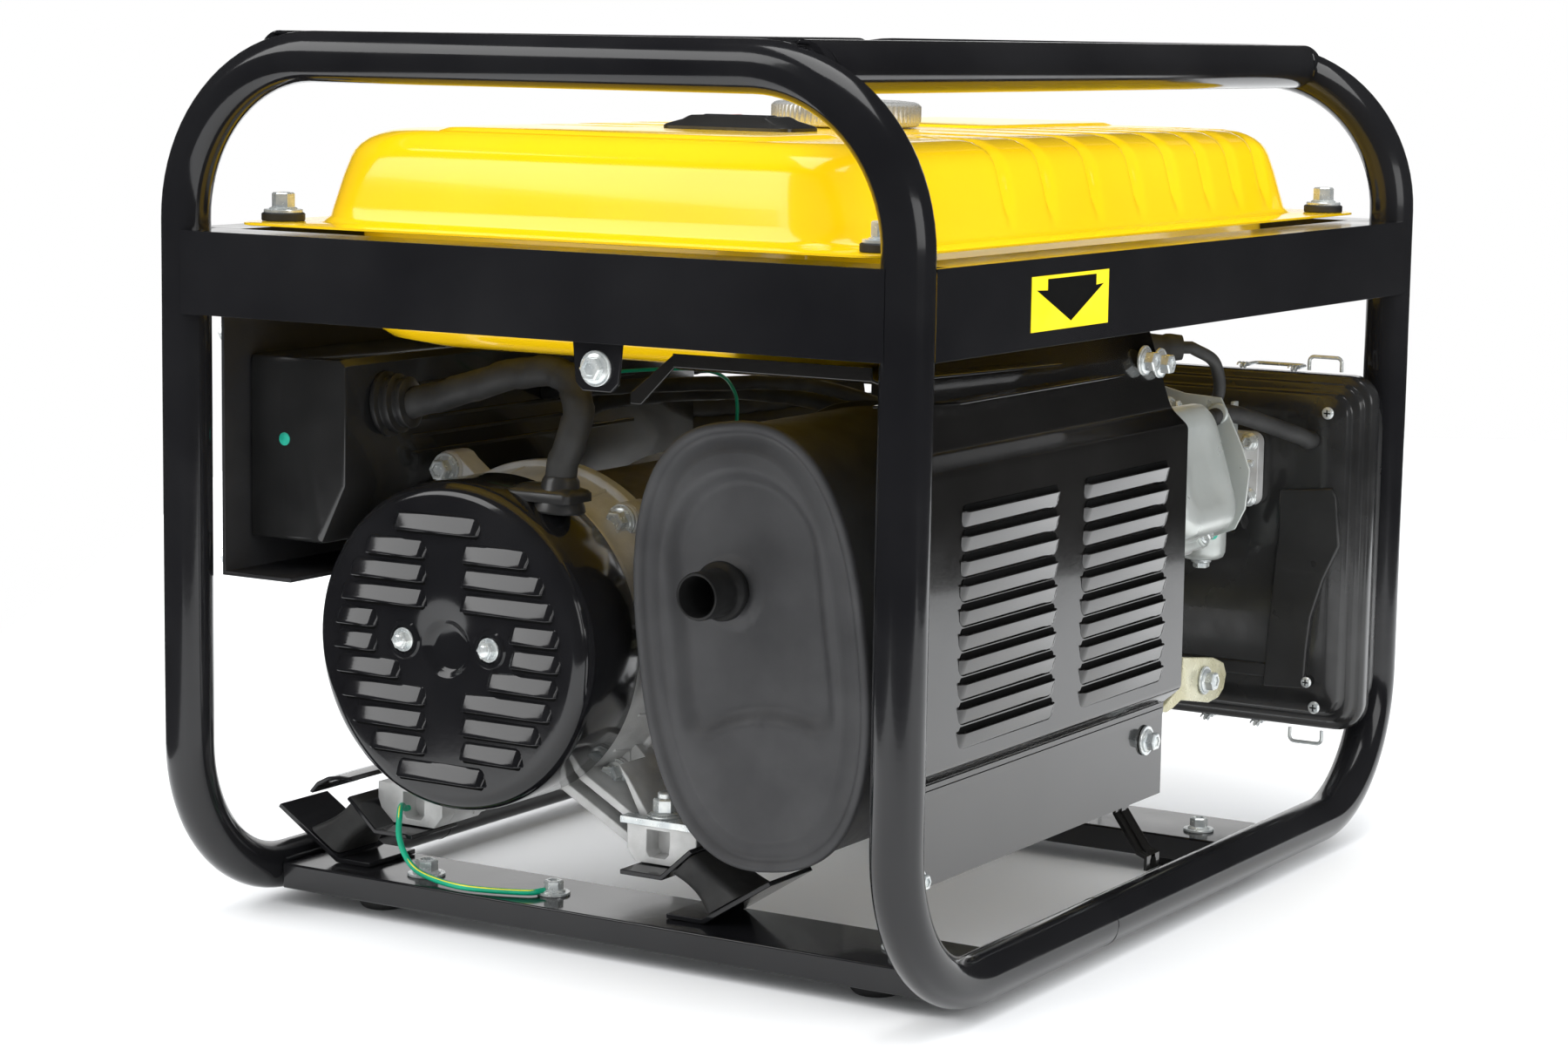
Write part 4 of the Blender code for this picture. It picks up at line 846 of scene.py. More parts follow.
def muffler_place(u, v):
    """World (y, z) of a point across and up the tilted muffler."""
    c, s = math.cos(MUFFLER_TILT), math.sin(MUFFLER_TILT)
    return MUFFLER_YZ[0] + u * c - v * s, MUFFLER_YZ[1] + u * s + v * c


def arch_distance(u, v):
    """Signed distance to the arch-shaped panel pressed in the end cap."""
    high, half = 84.0, 42.0
    low = -47.0 + 13.0 * (1 - min(1.0, (u / half) ** 2))
    radius = 42.0 if v > (low + high) / 2 else 16.0
    cu = max(abs(u) - (half - radius), 0)
    cv = max(v - (high - radius), (low + radius) - v, 0)
    if cu == 0 and cv == 0:
        return max(abs(u) - half, v - high, low - v)
    return math.hypot(cu, cv) - radius


def cap_height(u, v):
    """Relief of the end cap over its flat plane, in millimetres."""
    panel = -6.0 * (1 - ease(-5.5, 4.0, arch_distance(u, v)))
    pu, pv = u + 11, v - 27
    collar = 2.6 * (1 - ease(13.5, 19, math.hypot(pu, pv)))
    return panel + collar


CAP_CORE = 60                   # inset past which the cap's outlines shrink to a point


def cap_loops(x, steps, insets):
    """Outlines of the end cap shrinking to its middle, with its relief."""
    loops = []
    for inset in insets:
        loop = []
        for k in range(steps):
            u, v = oval_point(TURN * k / steps, inset)
            if inset > CAP_CORE:
                u, v = oval_point(TURN * k / steps, CAP_CORE)
                scale = 1 - (inset - CAP_CORE) / 5.2
                u, v = u * scale, v * scale
            y, z = muffler_place(u, v)
            loop.append((x + cap_height(u, v), y, z))
        loops.append(loop)
    return loops


def build_muffler():
    x0, x1 = MUFFLER_X
    steps = 180

    def ring(x, inset):
        return [(x, *muffler_place(*oval_point(TURN * k / steps, inset)))
                for k in range(steps)]

    back = [ring(x0 + 1.5, 64 - i * 7) for i in range(8)]
    rim = [(x0 + 1.5, 9), (x0, 5), (x0, 1.2), (x0 + 0.7, 0.3), (x0 + 3.2, 0), (x0 + 4, 0.4),
           (x0 + 4.6, 2.2), (x0 + 6, 3), (x1 - 7, 3), (x1 - 5.4, 2.4), (x1 - 4.6, 0.5),
           (x1 - 3.8, 0), (x1 - 0.8, 0.1), (x1, 0.9), (x1 + 0.2, 2.4), (x1 - 0.3, 4.0),
           (x1 - 1.8, 5.2), (x1 - 2.9, 6.2), (x1 - 3.2, 7.6), (x1 - 3.1, 10), (x1 - 2.0, 13),
           (x1 - 1.2, 15)]
    loops = back + [ring(x, inset) for x, inset in rim]
    insets = [16 + i * 1.4 for i in range(32)] + [CAP_CORE + i * 0.25 for i in range(1, 20)]
    loops += cap_loops(x1 - 1.2, steps, insets)
    bm = bmesh.new()
    for face in skin(bm, loops):
        if max(v.co.x for v in face.verts) < x1 - 14:
            face.material_index = 1
    piece("muffler_shell", bm, [MUFFLER_BLACK, PIPE_BLACK],
          hides=("muffler",), smooth=55)
    y, z = OUTLET_YZ
    bm = bmesh.new()
    turned(bm, [(10, 0), (12.4, 0), (12.4, 3.6), (14.2, 4.4), (14.8, 5.6), (14.6, 7.4),
                (13.8, 8.6), (12.2, 9.6), (11.8, 12), (11.8, 26.8), (11.4, 28.2), (10.8, 28.4),
                (10.2, 28)],
           (x1 - 3, y, z), TO_END, 56, ring=True)
    # near-black disc just inside the bore: painted shade of the pipe's interior
    turned(bm, [(0.1, 0.2), (10.1, 0.2), (10.1, 0.6), (0.1, 0.6)], (x1 - 2.4, y, z), TO_END, 40,
           ring=True, mat=1)
    piece("outlet_pipe", bm, [PIPE_BLACK, SHADE_AND_INK], smooth=50)
    bm = bmesh.new()
    y1, z1 = along_cylinder(190, 0)
    start, end = CYL_X + 46 + GAP, MUFFLER_X[0] - GAP
    pipe = smooth_path(((start, y1, z1), (start + 12, y1, z1), (-36, y1 + 3, 203),
                        (20, 108, 192), (end - 14, 98, 188), (end, 98, 188)), 10)
    pipe = [p for p in pipe if start + 14 < p.x < end - 14]
    pipe = [Vector((start, y1, z1)), Vector((start + 8, y1, z1)), *pipe,
            Vector((end - 8, 98, 188)), Vector((end, 98, 188))]
    tube(bm, pipe, 13.8, 32)
    for x, y, z in ((start + 2, y1, z1), (end - 6, 98, 188)):
        prism(bm, [(y + a, z + b) for a, b in rounded_rect(26, 18, 12, 8)], "x", (x, x + 4))
    piece("exhaust_elbow", bm, MUFFLER_BLACK, hides=("exhaust_pipe",),
          smooth=45, bevel=0.4)


def along_cylinder(a, b):
    """World (y, z) of a point a along the cylinder line and b across it."""
    c, s = math.cos(CYL_TILT), math.sin(CYL_TILT)
    return (CRANK_Y + a * c - b * s, CRANK_Z + a * s + b * c)


def bent_sheet(bm, line, span):
    """Bent sheet: a (y, z) line thickened inwards and extruded along x."""
    pts = [Vector((p[0], p[1])) for p in line]
    inner = []
    for i, p in enumerate(pts):
        before = (p - pts[i - 1]).normalized() if i else (pts[1] - p).normalized()
        after = (pts[i + 1] - p).normalized() if i + 1 < len(pts) else before
        mean = (before + after).normalized()
        normal = Vector((mean.y, -mean.x))
        inner.append(p + normal * SHEET_T)
    prism(bm, pts + inner[::-1], "x", span)


SHIELD_Y, PLATE_Y, SHEET_T = 197.0, 187.0, 1.3
HOOD_PITCH, HOOD_TOP_Z = 11.75, 240.5


def build_shield():
    corners = [(0, 172, 309), (0, 186, 268), (0, 196.4, 259), (0, 197, 119), (0, 187, 110.5),
               (0, 187, 106)]
    line = [(p.y, p.z) for p in bend_path(corners, (16, 5, 5, 3), 6)]
    bm = bmesh.new()
    bent_sheet(bm, line, SHIELD_X)
    for x0, x1 in ((110.0, 210.0), (-16.0, 82.0)):
        # each hood's mouth carries a strip of painted shade in the near-black second material
        for k in range(10):
            at = ((x0 + x1) / 2, SHIELD_Y - 0.15, HOOD_TOP_Z - HOOD_PITCH * k)
            louvre(bm, at, TO_END, DOWN, TO_MUFFLER, x1 - x0, 8.6, 2.6, slot_shade=2.7,
                   round_ends=True)
    piece("heat_shield_panel", bm, [SHIELD_BLACK, SHADE_AND_INK], hides=("heat_shield",),
          smooth=42)
    bm = bmesh.new()
    bent_sheet(bm, [(187.6, 107.5), (187.2, 104.6), (PLATE_Y, 103), (PLATE_Y, 61)],
               (SHIELD_X[0] + 1, SHIELD_X[1]))
    piece("lower_plate_panel", bm, SHIELD_BLACK, hides=("lower_plate",),
          smooth=42)
    bm = bmesh.new()
    back = PLATE_Y - 1.4 - GAP
    rest = RAIL_LOW_Z + TUBE_R + GAP
    for x0, x1, d in ((-4, 11, 0.0), (1, 6, 1.1)):
        low = rest if d == 0 else rest + 6
        leg = [(back + d, 92), (back + d, 59), (199 + d, 40), (204, 38), (204, low),
               (202.2, low), (202.2, 36.5), (197.6, 38.2), (back - 1.8 + d, 58),
               (back - 1.8 + d, 92)]
        prism(bm, leg, "x", (x0, x1))
    # near-black disc on the leg's outer face: painted shade of a hole
    turned(bm, [(0.1, 0), (3, 0), (3, 0.4), (0.1, 0.4)], (3.5, 204.0, 34), TO_MUFFLER, 24, mat=1)
    piece("shield_leg_strip", bm, [SHIELD_BLACK, SHADE_AND_INK], hides=("shield_leg",),
          bevel=0.5)
    bm = bmesh.new()
    hex_bolt(bm, (-18, 187.2, 93), TO_MUFFLER, 4.6, 5.5, 8.0)
    hex_bolt(bm, (228, 187.2, 66), TO_MUFFLER, 3.6, 4.2, 6.2)
    for x, z in ((-21, 293.5), (-38, 291)):
        hex_bolt(bm, (x, 177.8 + (295 - z) * 0.34, z), TO_MUFFLER, 5.0, 6.4, 8.2)
    piece("shield_bolts", bm, ZINC)


def build_baffle():
    """Heat baffle hung under the tank: a thin plate with a lip and two slanting arms."""
    bm = bmesh.new()
    line = [(96, 300.0), (280, 305.0), (285.4, 306.6), (286, 313.0), (284.8, 313.0),
            (284, 307.8), (279, 306.3), (96, 301.3)]
    prism(bm, line, "y", (84, 190))
    for x in (110.0, 284.8):
        arm = [(84, 312.6), (84, 306), (66, 288), (60, 288), (60, 293)]
        prism(bm, arm, "x", (x - 1.2, x))
    prism(bm, [(150, 286), (197, 291), (197, 292.3), (150, 287.3)], "x", (40, 214))
    piece("heat_baffle", bm, SHIELD_BLACK, bevel=0.3)


# ---------------------------------------------------------------- engine
def tilted(bm, outline, x):
    """Extrude along x an outline given along and across the cylinder line."""
    prism(bm, [along_cylinder(a, b) for a, b in outline], "x", x)


def cylinder_loop(a, half_x, half_b, radius, per_corner, mid=0):
    """Rounded outline square to the cylinder line, a along it and mid off it."""
    return [(CYL_X + dx, *along_cylinder(a, mid + db))
            for dx, db in rounded_rect(half_x, half_b, radius, per_corner)]


def fin(bm, a, half_x, low_b, high_b, thick, radius=10):
    """One cooling fin: a rounded plate square to the cylinder line."""
    mid, half_b = (low_b + high_b) / 2, (high_b - low_b) / 2
    skin(bm, [cylinder_loop(step, half_x, half_b, radius, 5, mid) for step in (a, a + thick)])


def build_crankcase():
    x0, x1 = CASE_X
    bm = bmesh.new()
    turned_x(bm, [(12, x0), (50, x0), (58, x0 + 1), (63, x0 + 4), (66, x0 + 8), (66, x1 - 8),
                  (63, x1 - 4), (58, x1), (40, x1 + 0.2), (12, x1 + 0.2)], 96, ring=True)
    base = [(CRANK_Y - 74, 46), (CRANK_Y + 74, 46), (CRANK_Y + 74, 56), (CRANK_Y + 64, 62),
            (CRANK_Y + 60, 70), (CRANK_Y + 60, CRANK_Z), (CRANK_Y + 40, CRANK_Z + 38),
            (CRANK_Y - 50, CRANK_Z + 20), (CRANK_Y - 60, 72), (CRANK_Y - 64, 62),
            (CRANK_Y - 74, 56)]
    prism(bm, base, "x", (x0 + 6, x1 - 6))
    for x in (x0 + 30, x1 - 34):
        for sy in (1, -1):
            rib = [(CRANK_Y + sy * 56, 60), (CRANK_Y + sy * 73, 57), (CRANK_Y + sy * 62, 96)]
            prism(bm, rib, "x", (x, x + 4))
    tilted(bm, [(40, -36), (HEAD_A[0] - 1, -36), (HEAD_A[0] - 1, 40), (30, 40)],
           (CYL_X - 38, CYL_X + 38))
    for k in range(11):
        fin(bm, 84 + k * 9.3, 45, -42, 46, 2.2)
    case_bolts = round_crank(57, 7, start=0.3)
    for y, z in case_bolts:
        turned(bm, [(7.5, 0), (7.5, 5), (6.6, 6)], (x1 - 2, y, z), TO_END, 24)
    turned(bm, [(16, 0), (15, 3), (14, 5), (14, 14), (10, 14), (10, 0)],
           (CYL_X + 20, CRANK_Y + 58, 80), TO_MUFFLER, 40, ring=True)
    piece("crankcase_casting", bm, CAST, hides=("crankcase",), smooth=38,
          bevel=0.6)
    bm = bmesh.new()
    for y, z in case_bolts:
        hex_bolt(bm, (x1 + 3.6, y, z), TO_END, 4.4, 4.6, 6.6)
    piece("crankcase_bolts", bm, ZINC)
    bm = bmesh.new()
    at = (CYL_X + 20, CRANK_Y + 66, 80)
    turned(bm, [(11, 6.2), (12.4, 6.6), (12.8, 7.4), (12.8, 8.4), (12, 9.2), (9, 9.8),
                (5, 10), (0.1, 10)], at, TO_MUFFLER, 96, knurl=(24, 0.7, 7.0, 9.0))
    for s in (1, -1):
        prism(bm, [(at[0] + s * 1.5, 80 - 10), (at[0] + s * 1.5, 80 + 10),
                   (at[0] + s * 3.6, 80 + 8), (at[0] + s * 3.6, 80 - 8)], "y",
              (at[1] + 9.5, at[1] + 14))
    piece("oil_cap_shell", bm, SHINY_PLASTIC, "oil_cap_body", ("oil_cap",),
          smooth=40, bevel=0.3)


def build_head():
    a0, a1 = HEAD_A
    bm = bmesh.new()
    tilted(bm, [(a0 + 0.3, -38), (a1, -38), (a1, 38), (a0 + 0.3, 38)], (CYL_X - 38, CYL_X + 38))
    for k in range(5):
        fin(bm, a0 + 0.6 + k * 8.2, 45.6, -45.6, 45.6, 2.4, 8)
    y, z = along_cylinder(a0 + 20, 0)
    turned(bm, [(24, -12), (24, -0.6), (22, 0)], (CYL_X + 45.5, y, z), TO_END, 40)
    tilted(bm, [(a1 - 3, -44), (a1, -44), (a1, 44), (a1 - 3, 44)], (CYL_X - 44, CYL_X + 44))
    piece("cylinder_head_casting", bm, CAST, hides=("cylinder_head",),
          smooth=38, bevel=0.35)
    bm = bmesh.new()
    cover = ((0.3, 42.6, 43.4, 10), (2.4, 42.6, 43.4, 10), (3.2, 41.8, 42.6, 10),
             (3.4, 38.6, 39, 12), (5, 37.6, 38, 12), (12, 36.6, 37, 13), (24, 35.4, 36, 14),
             (28, 34.2, 34.8, 14), (30.6, 31.6, 32, 13), (31.6, 27, 27.4, 11),
             (31.4, 22, 22, 9), (30.2, 20, 20, 8), (30.0, 8, 8, 4))
    skin(bm, [cylinder_loop(a1 + a, hx, hb, r, 8) for a, hx, hb, r in cover])
    out = Vector((0, math.cos(CYL_TILT), math.sin(CYL_TILT)))

    def corners(a):
        return [(CYL_X + sx * 35.5, *along_cylinder(a, sb * 36)) for sx, sb in CORNERS]
    for at in corners(a1 + 2.4):
        turned(bm, [(7.4, 0), (7.4, 2), (6.6, 2.8)], at, out, 28)
    piece("rocker_cover_pressing", bm, PLATE_ZINC, hides=("rocker_cover",),
          smooth=45)
    bm = bmesh.new()
    for at in corners(a1 + 4.6):
        hex_bolt(bm, at, out, 4.2, 5.0, 0)
    piece("rocker_cover_bolts", bm, ZINC)


def build_engine_trim():
    """Zinc heat plate beside the head, and the yellow-zinc bracket by the air cleaner."""
    bm = bmesh.new()
    x = CARB_X + 30
    plate = [(92, 262), (118, 266), (135, 262), (157, 261), (164, 248), (171, 234), (176, 221),
             (174, 199), (168, 187), (146, 178), (120, 172), (94, 180), (86, 220)]
    prism(bm, plate, "x", (x, x + 1.6))
    inner = [(98, 252), (120, 256), (136, 253), (150, 250), (158, 236), (164, 218), (163, 204),
             (158, 194), (142, 187), (120, 182), (101, 188), (95, 222)]
    prism(bm, inner, "x", (x + 1.2, x + 2.8))
    for y, z in ((156, 252), (160, 192)):
        turned(bm, [(6, 0), (6, 1.6), (5.4, 2.2), (0.1, 2.2)], (x + 1.4, y, z), TO_END, 24)
    piece("head_side_plate", bm, PLATE_ZINC, smooth=40, bevel=0.7)
    bm = bmesh.new()
    line = [(-110, 122), (-151, 116), (-165, 111), (-169, 104), (-166, 96), (-159, 92),
            (-146, 91), (-109, 98), (-98, 95), (-91, 94), (-80, 96), (-101, 104), (-108, 107)]
    prism(bm, line, "y", (163.6, 165.8))
    prism(bm, [(-108, 107), (-110, 122), (-112, 122), (-110, 107)], "y", (CASE_FACE_Y, 165))
    piece("stay_bracket", bm, YELLOW_ZINC, smooth=40, bevel=0.5)
    bm = bmesh.new()
    hex_bolt(bm, (-138, 166, 105), TO_MUFFLER, 5.0, 6.0, 8.0)
    piece("stay_bracket_bolt", bm, ZINC)


def build_ignition_coil():
    """Coil on the blower, the cables to it and the governor arm on the crankcase."""
    bm = bmesh.new()
    skin(bm, [[(x, -58 + a, 246 + b) for a, b in rounded_rect(h, 15 - 16 + h, 5, 6)]
              for x, h in ((-196, 13), (-194, 16), (-176, 16), (-174, 13))])
    block(bm, (-192, -178), (-82, -30), (226, 234))
    piece("ignition_coil", bm, PLASTIC, smooth=40, bevel=0.8)
    bm = bmesh.new()
    routes = ((8.5, ((-95, -178, 240), (-112, -166, 239), (-138, -140, 241), (-165, -110, 246),
                     (-184, -84, 250))),
              (4.5, ((-95, -166, 262), (-118, -146, 264), (-140, -124, 262), (-166, -92, 262),
                     (-184, -66, 256))),
              (5.0, ((20, -146.5, 250), (4, -128, 256), (-40, -80, 259), (-80, -40, 250),
                     (-112, -16, 234))),
              (4.0, ((60, -146.5, 262), (58, -116, 266), (12, -70, 268), (-50, -40, 264),
                     (-96, 0, 246))))
    for radius, points in routes:
        tube(bm, smooth_path(points, 14), taped(radius), 18)
    tube(bm, smooth_path([(x, y, z - 11) for x, y, z in routes[0][1]], 14), taped(7), 18)
    piece("engine_harness", bm, RUBBER, smooth=60)
    bm = bmesh.new()
    tube(bm, smooth_path(((100, -146.5, 268), (92, -100, 277), (44, -56, 279), (4, -58, 264),
                          (-8, -64, 234)), 14), 1.0, 12)
    piece("bonding_wire", bm, GREEN_SLEEVE, smooth=60)
    bm = bmesh.new()
    arm = [(-150, 212), (-92, 226), (-60, 224), (-58, 230), (-92, 233), (-150, 219)]
    prism(bm, arm, "y", (-30, -27.6))
    prism(bm, [(-98, 196), (-90, 196), (-90, 232), (-98, 232)], "y", (-33, -30.4))
    turned(bm, [(5, 0), (5, 6), (4, 7), (0.1, 7)], (-94, -27.6, 226), TO_MUFFLER, 24)
    piece("governor_arm", bm, PLATE_ZINC, bevel=0.5)


def build_carburetor():
    y, z = CARB_YZ
    x0 = CYL_X - 46 - GAP
    x_in = CLEANER_X[0]
    bm = bmesh.new()
    sections = ((x0, 20, 20, 6), (x0 - 4, 20, 20, 6), (x0 - 4.6, 19.4, 19.4, 6),
                (x0 - 5, 14, 17, 6), (x0 - 16, 13, 16, 8), (CARB_X + 16, 13, 16, 8),
                (CARB_X + 14, 15, 18, 5), (CARB_X - 14, 15, 18, 5), (CARB_X - 16, 13.5, 16, 8),
                (x_in + 9, 13.5, 16, 8), (x_in + 8, 21, 21, 6), (x_in + 0.8, 21.6, 21.6, 6),
                (x_in + 0.3, 21, 21, 6))
    skin(bm, [[(x, y + a, z + b) for a, b in rounded_rect(hy, hz, r, 6)]
              for x, hy, hz, r in sections])
    block(bm, (CARB_X - 11, CARB_X + 11), (y + 14, y + 16), (z - 14, z + 16))
    turned(bm, [(7, 0), (7, 5), (5.4, 6), (5.4, 10)], (CARB_X + 8, y + 12, z + 8), TO_MUFFLER,
           28)
    turned(bm, [(5, 0), (5, 6)], (CARB_X - 8, y + 12, z - 8), TO_MUFFLER, 24)
    turned(bm, [(16, 0), (16, 3), (15, 4)], (CARB_X, y, z - 22), UP, 40)
    piece("carburetor_body", bm, CAST, hides=("carburetor",), smooth=38,
          bevel=0.7)
    bm = bmesh.new()
    turned(bm, [(0.1, 0), (10, 0), (12.4, 1.2), (13.6, 4), (13.8, 8), (13.8, 26), (14.6, 27),
                (14.6, 28), (0.1, 28)], (CARB_X, y, z - 50), UP, 56)
    piece("carburetor_bowl", bm, PLATE_ZINC, smooth=45)
    bm = bmesh.new()
    turned(bm, [(3.5, 0), (3.4, 0.4), (2.4, 0.7), (0.1, 0.8)], (CARB_X + 9, y + 10.6, z - 34),
           Vector((0.65, 0.76, 0)), 20)
    piece("carburetor_mark", bm, GREEN_DOT, smooth=40)
    bm = bmesh.new()
    hex_bolt(bm, (CARB_X, y, z - 50), DOWN, 4.4, 4.0, 6.0)
    turned(bm, [(2.2, 0), (2.2, 12), (1.7, 13), (0.1, 13)], (CARB_X + 8, y + 21, z + 8),
           TO_MUFFLER, 16)
    for dy, dz in ((17, 17), (-17, 17), (17, -17), (-17, -17)):
        hex_bolt(bm, (x_in + 8.4, y + dy * 0.95, z + dz * 0.95), TO_END, 3.6, 4.0, 5.4)
    piece("carburetor_screws", bm, ZINC)
    for node in ("choke_lever", "fuel_valve_lever"):
        refined(node, PLATE_ZINC if node == "choke_lever" else SHINY_PLASTIC,
                node + "_body", bevel=0.6)


def outline_yz(inset, radius):
    cy, cz = sum(CLEANER_Y) / 2, sum(CLEANER_Z) / 2
    hy, hz = (CLEANER_Y[1] - CLEANER_Y[0]) / 2, (CLEANER_Z[1] - CLEANER_Z[0]) / 2
    radius = max(2.0, radius - inset * 0.4)
    return [(cy + a, cz + b) for a, b in rounded_rect(hy - inset, hz - inset, radius, 8)]


def build_air_cleaner():
    x_in, x_out = CLEANER_X
    split = x_in - 22
    bm = bmesh.new()
    profile = ((x_in, 30), (x_in, 12), (x_in - 0.8, 11), (x_in - 4, 10.4), (x_in - 5, 9.6),
               (x_in - 5.4, 8.6), (x_in - 5.6, 6.2), (x_in - 6.4, 5.2), (x_in - 9, 4.6),
               (x_in - 9.8, 3.8), (x_in - 10, 2.2), (x_in - 10.6, 0.9), (x_in - 12, 0.1),
               (x_in - 14, 0), (split + 1, 0), (split, 0.6), (split, 5.6), (split + 5, 5.6),
               (x_in - 11, 14), (x_in - 3, 18))
    skin(bm, [[(x, y, z) for y, z in outline_yz(i, 16)] for x, i in profile])
    piece("air_cleaner_tray_shell", bm, SHINY_PLASTIC,
          hides=("air_cleaner_tray",), smooth=42)
    bm = bmesh.new()
    duct = [(167, 203), (199, 206), (202, 201), (205, 173), (196, 153), (189, 130), (187, 110),
            (186, 88), (161, 87), (162, 114), (164, 140), (166, 166), (167, 173)]
    prism(bm, duct, "x", (x_in - 1, x_in + 3.2))
    for y in (46, 64, 82, 100):
        prism(bm, [(y, 92), (y + 3, 92), (y + 3, 196), (y, 196)], "x", (x_in - 0.6, x_in + 1.4))
    step = [(40, 100), (168, 100), (160, 92), (48, 92)]
    prism(bm, step, "x", (x_in - 0.6, x_in + 2.0))
    piece("air_cleaner_duct", bm, PLASTIC, smooth=38, bevel=1.3)
    bm = bmesh.new()
    for y, z in ((194, 249), (192, 77), (46, 249), (46, 77)):
        socket_screw(bm, (x_in - 0.4, y, z), TO_END, 3.6, 2.2)
    socket_screw(bm, (x_in + 3.2, 188, 92), TO_END, 3.2, 1.8)
    piece("air_cleaner_screws", bm, [ZINC, SHADE_AND_INK])
    bm = bmesh.new()
    profile = ((split - 0.4, 5), (split - 0.4, 1.2), (split - 1, 1), (split - 7.4, 1),
               (split - 8.4, 1.4), (split - 12.2, 4.6), (split - 13, 6.4), (split - 14, 22),
               (split - 15, 24.6), (x_out + 5, 26.6), (x_out + 3.4, 27.8), (x_out + 2, 30),
               (x_out + 1.4, 34), (x_out + 1.2, 44), (x_out + 1.8, 47), (x_out + 1.8, 60))
    skin(bm, [[(x, y, z) for y, z in outline_yz(i, 30)] for x, i in profile])
    for k in range(6):
        z = 122 + k * 17
        prism(bm, [(72, z), (168, z), (168, z + 3), (72, z + 3)], "x",
              (x_out + 0.6, x_out + 2.4))
    piece("air_cleaner_lid_shell", bm, PLASTIC, hides=("air_cleaner_lid",),
          smooth=42)


def build_clips():
    x_in = CLEANER_X[0]
    for name, side, y in (("lid_clip_top", 1, 150.0), ("lid_clip_bottom", -1, 134.0)):
        edge = CLEANER_Z[1] if side > 0 else CLEANER_Z[0]
        pivot = (x_in - 12, y, edge + side * 2.2)
        reach = x_in - 33
        path = [(pivot[0], y - 16, pivot[2]), (reach, y - 16, pivot[2]),
                (reach, y + 16, pivot[2]), (pivot[0], y + 16, pivot[2])]
        bm = bmesh.new()
        tube(bm, bend_path(path, (4, 4), 8), 1.15, 14)
        for s in (-16, 16):
            coil = []
            for i in range(41):
                a = TURN * i / 16
                coil.append((pivot[0] + 2.2 * math.cos(a) - 2.2, y + s + (i - 20) * 0.14,
                             pivot[2] + 1.5 * math.sin(a)))
            tube(bm, coil, 0.55, 8)
        piece(name + "_wire", bm, ZINC, name + "_body", (name,), smooth=60)
    bm = bmesh.new()
    for side, y0 in ((1, 60.0), (-1, 60.0), (1, 186.0), (-1, 182.0)):
        edge = CLEANER_Z[1] if side > 0 else CLEANER_Z[0]
        z = edge + side * 1.8
        path = [(x_in - 13, y0 - 10, z), (x_in - 13, y0 - 10, z + side * 8),
                (x_in - 13, y0 + 10, z + side * 8), (x_in - 13, y0 + 10, z)]
        tube(bm, bend_path(path, (3, 3), 6), 1.1, 12)
    piece("lid_hook_wires", bm, ZINC, smooth=60)


def build_starter():
    x_in, x_out = CASE_X[0] - 2, BLOWER_X
    bm = bmesh.new()
    ring = [(92, x_in), (94.4, x_in), (95, x_in - 0.6), (95, x_in - 6), (94.2, x_in - 6.8),
            (94.2, x_out + 10), (93.4, x_out + 6), (91, x_out + 2.6), (87, x_out + 0.4),
            (82, x_out), (64, x_out), (62.6, x_out + 0.6), (62.6, x_out + 2), (86, x_out + 2),
            (92, x_out + 9)]
    turned_x(bm, ring, 128, ring=True)
    piece("blower_shell", bm, COVER_BLACK, hides=("blower_housing",), smooth=40)
    x0, x1 = BLOWER_X - GAP, BLOWER_X - 24
    bm = bmesh.new()
    ring = [(70.4, x0), (73.4, x0), (74, x0 - 0.6), (74, x1 + 9), (73.2, x1 + 5.4),
            (70.6, x1 + 2), (67, x1 + 0.3), (62, x1), (24, x1), (21, x1 + 0.3),
            (18, x1 + 1.6), (8, x1 + 1.8), (0.1, x1 + 1.8), (0.1, x1 + 3), (20, x1 + 3),
            (65, x1 + 2.6), (70.4, x1 + 9)]
    turned_x(bm, ring, 128)
    # 22 near-black vent slots laid on the cover face: painted shade of the openings
    for k in range(22):
        a = TURN * k / 22
        c, s = math.cos(a), math.sin(a)
        slot_shade = [(28, -2.2), (58, -3.4), (60, 0), (58, 3.4), (28, 2.2), (26.6, 0)]
        skin(bm, [[(x, CRANK_Y + r * c - w * s, CRANK_Z + r * s + w * c) for r, w in slot_shade]
                  for x in (x1 - 0.12, x1 + 0.4)], mat=1)
    for y, z in round_crank(73.6, 40):
        tube(bm, [(x0 - 2, y, z), (x1 + 9, y, z)], 0.9, 6)
    piece("recoil_cover_shell", bm, [PLASTIC, SHADE_AND_INK], hides=("recoil_cover",),
          smooth=42)
    bm = bmesh.new()
    for k in range(3):
        a = math.radians(30 + 120 * k)
        hex_bolt(bm, (BLOWER_X - 0.4, CRANK_Y + 79.5 * math.cos(a),
                      CRANK_Z + 79.5 * math.sin(a)), TO_RECOIL, 4.0, 4.4, 6.0)
    piece("recoil_bolts", bm, ZINC)
    recolour(PLASTIC, "starter_pulley")
    build_handle()


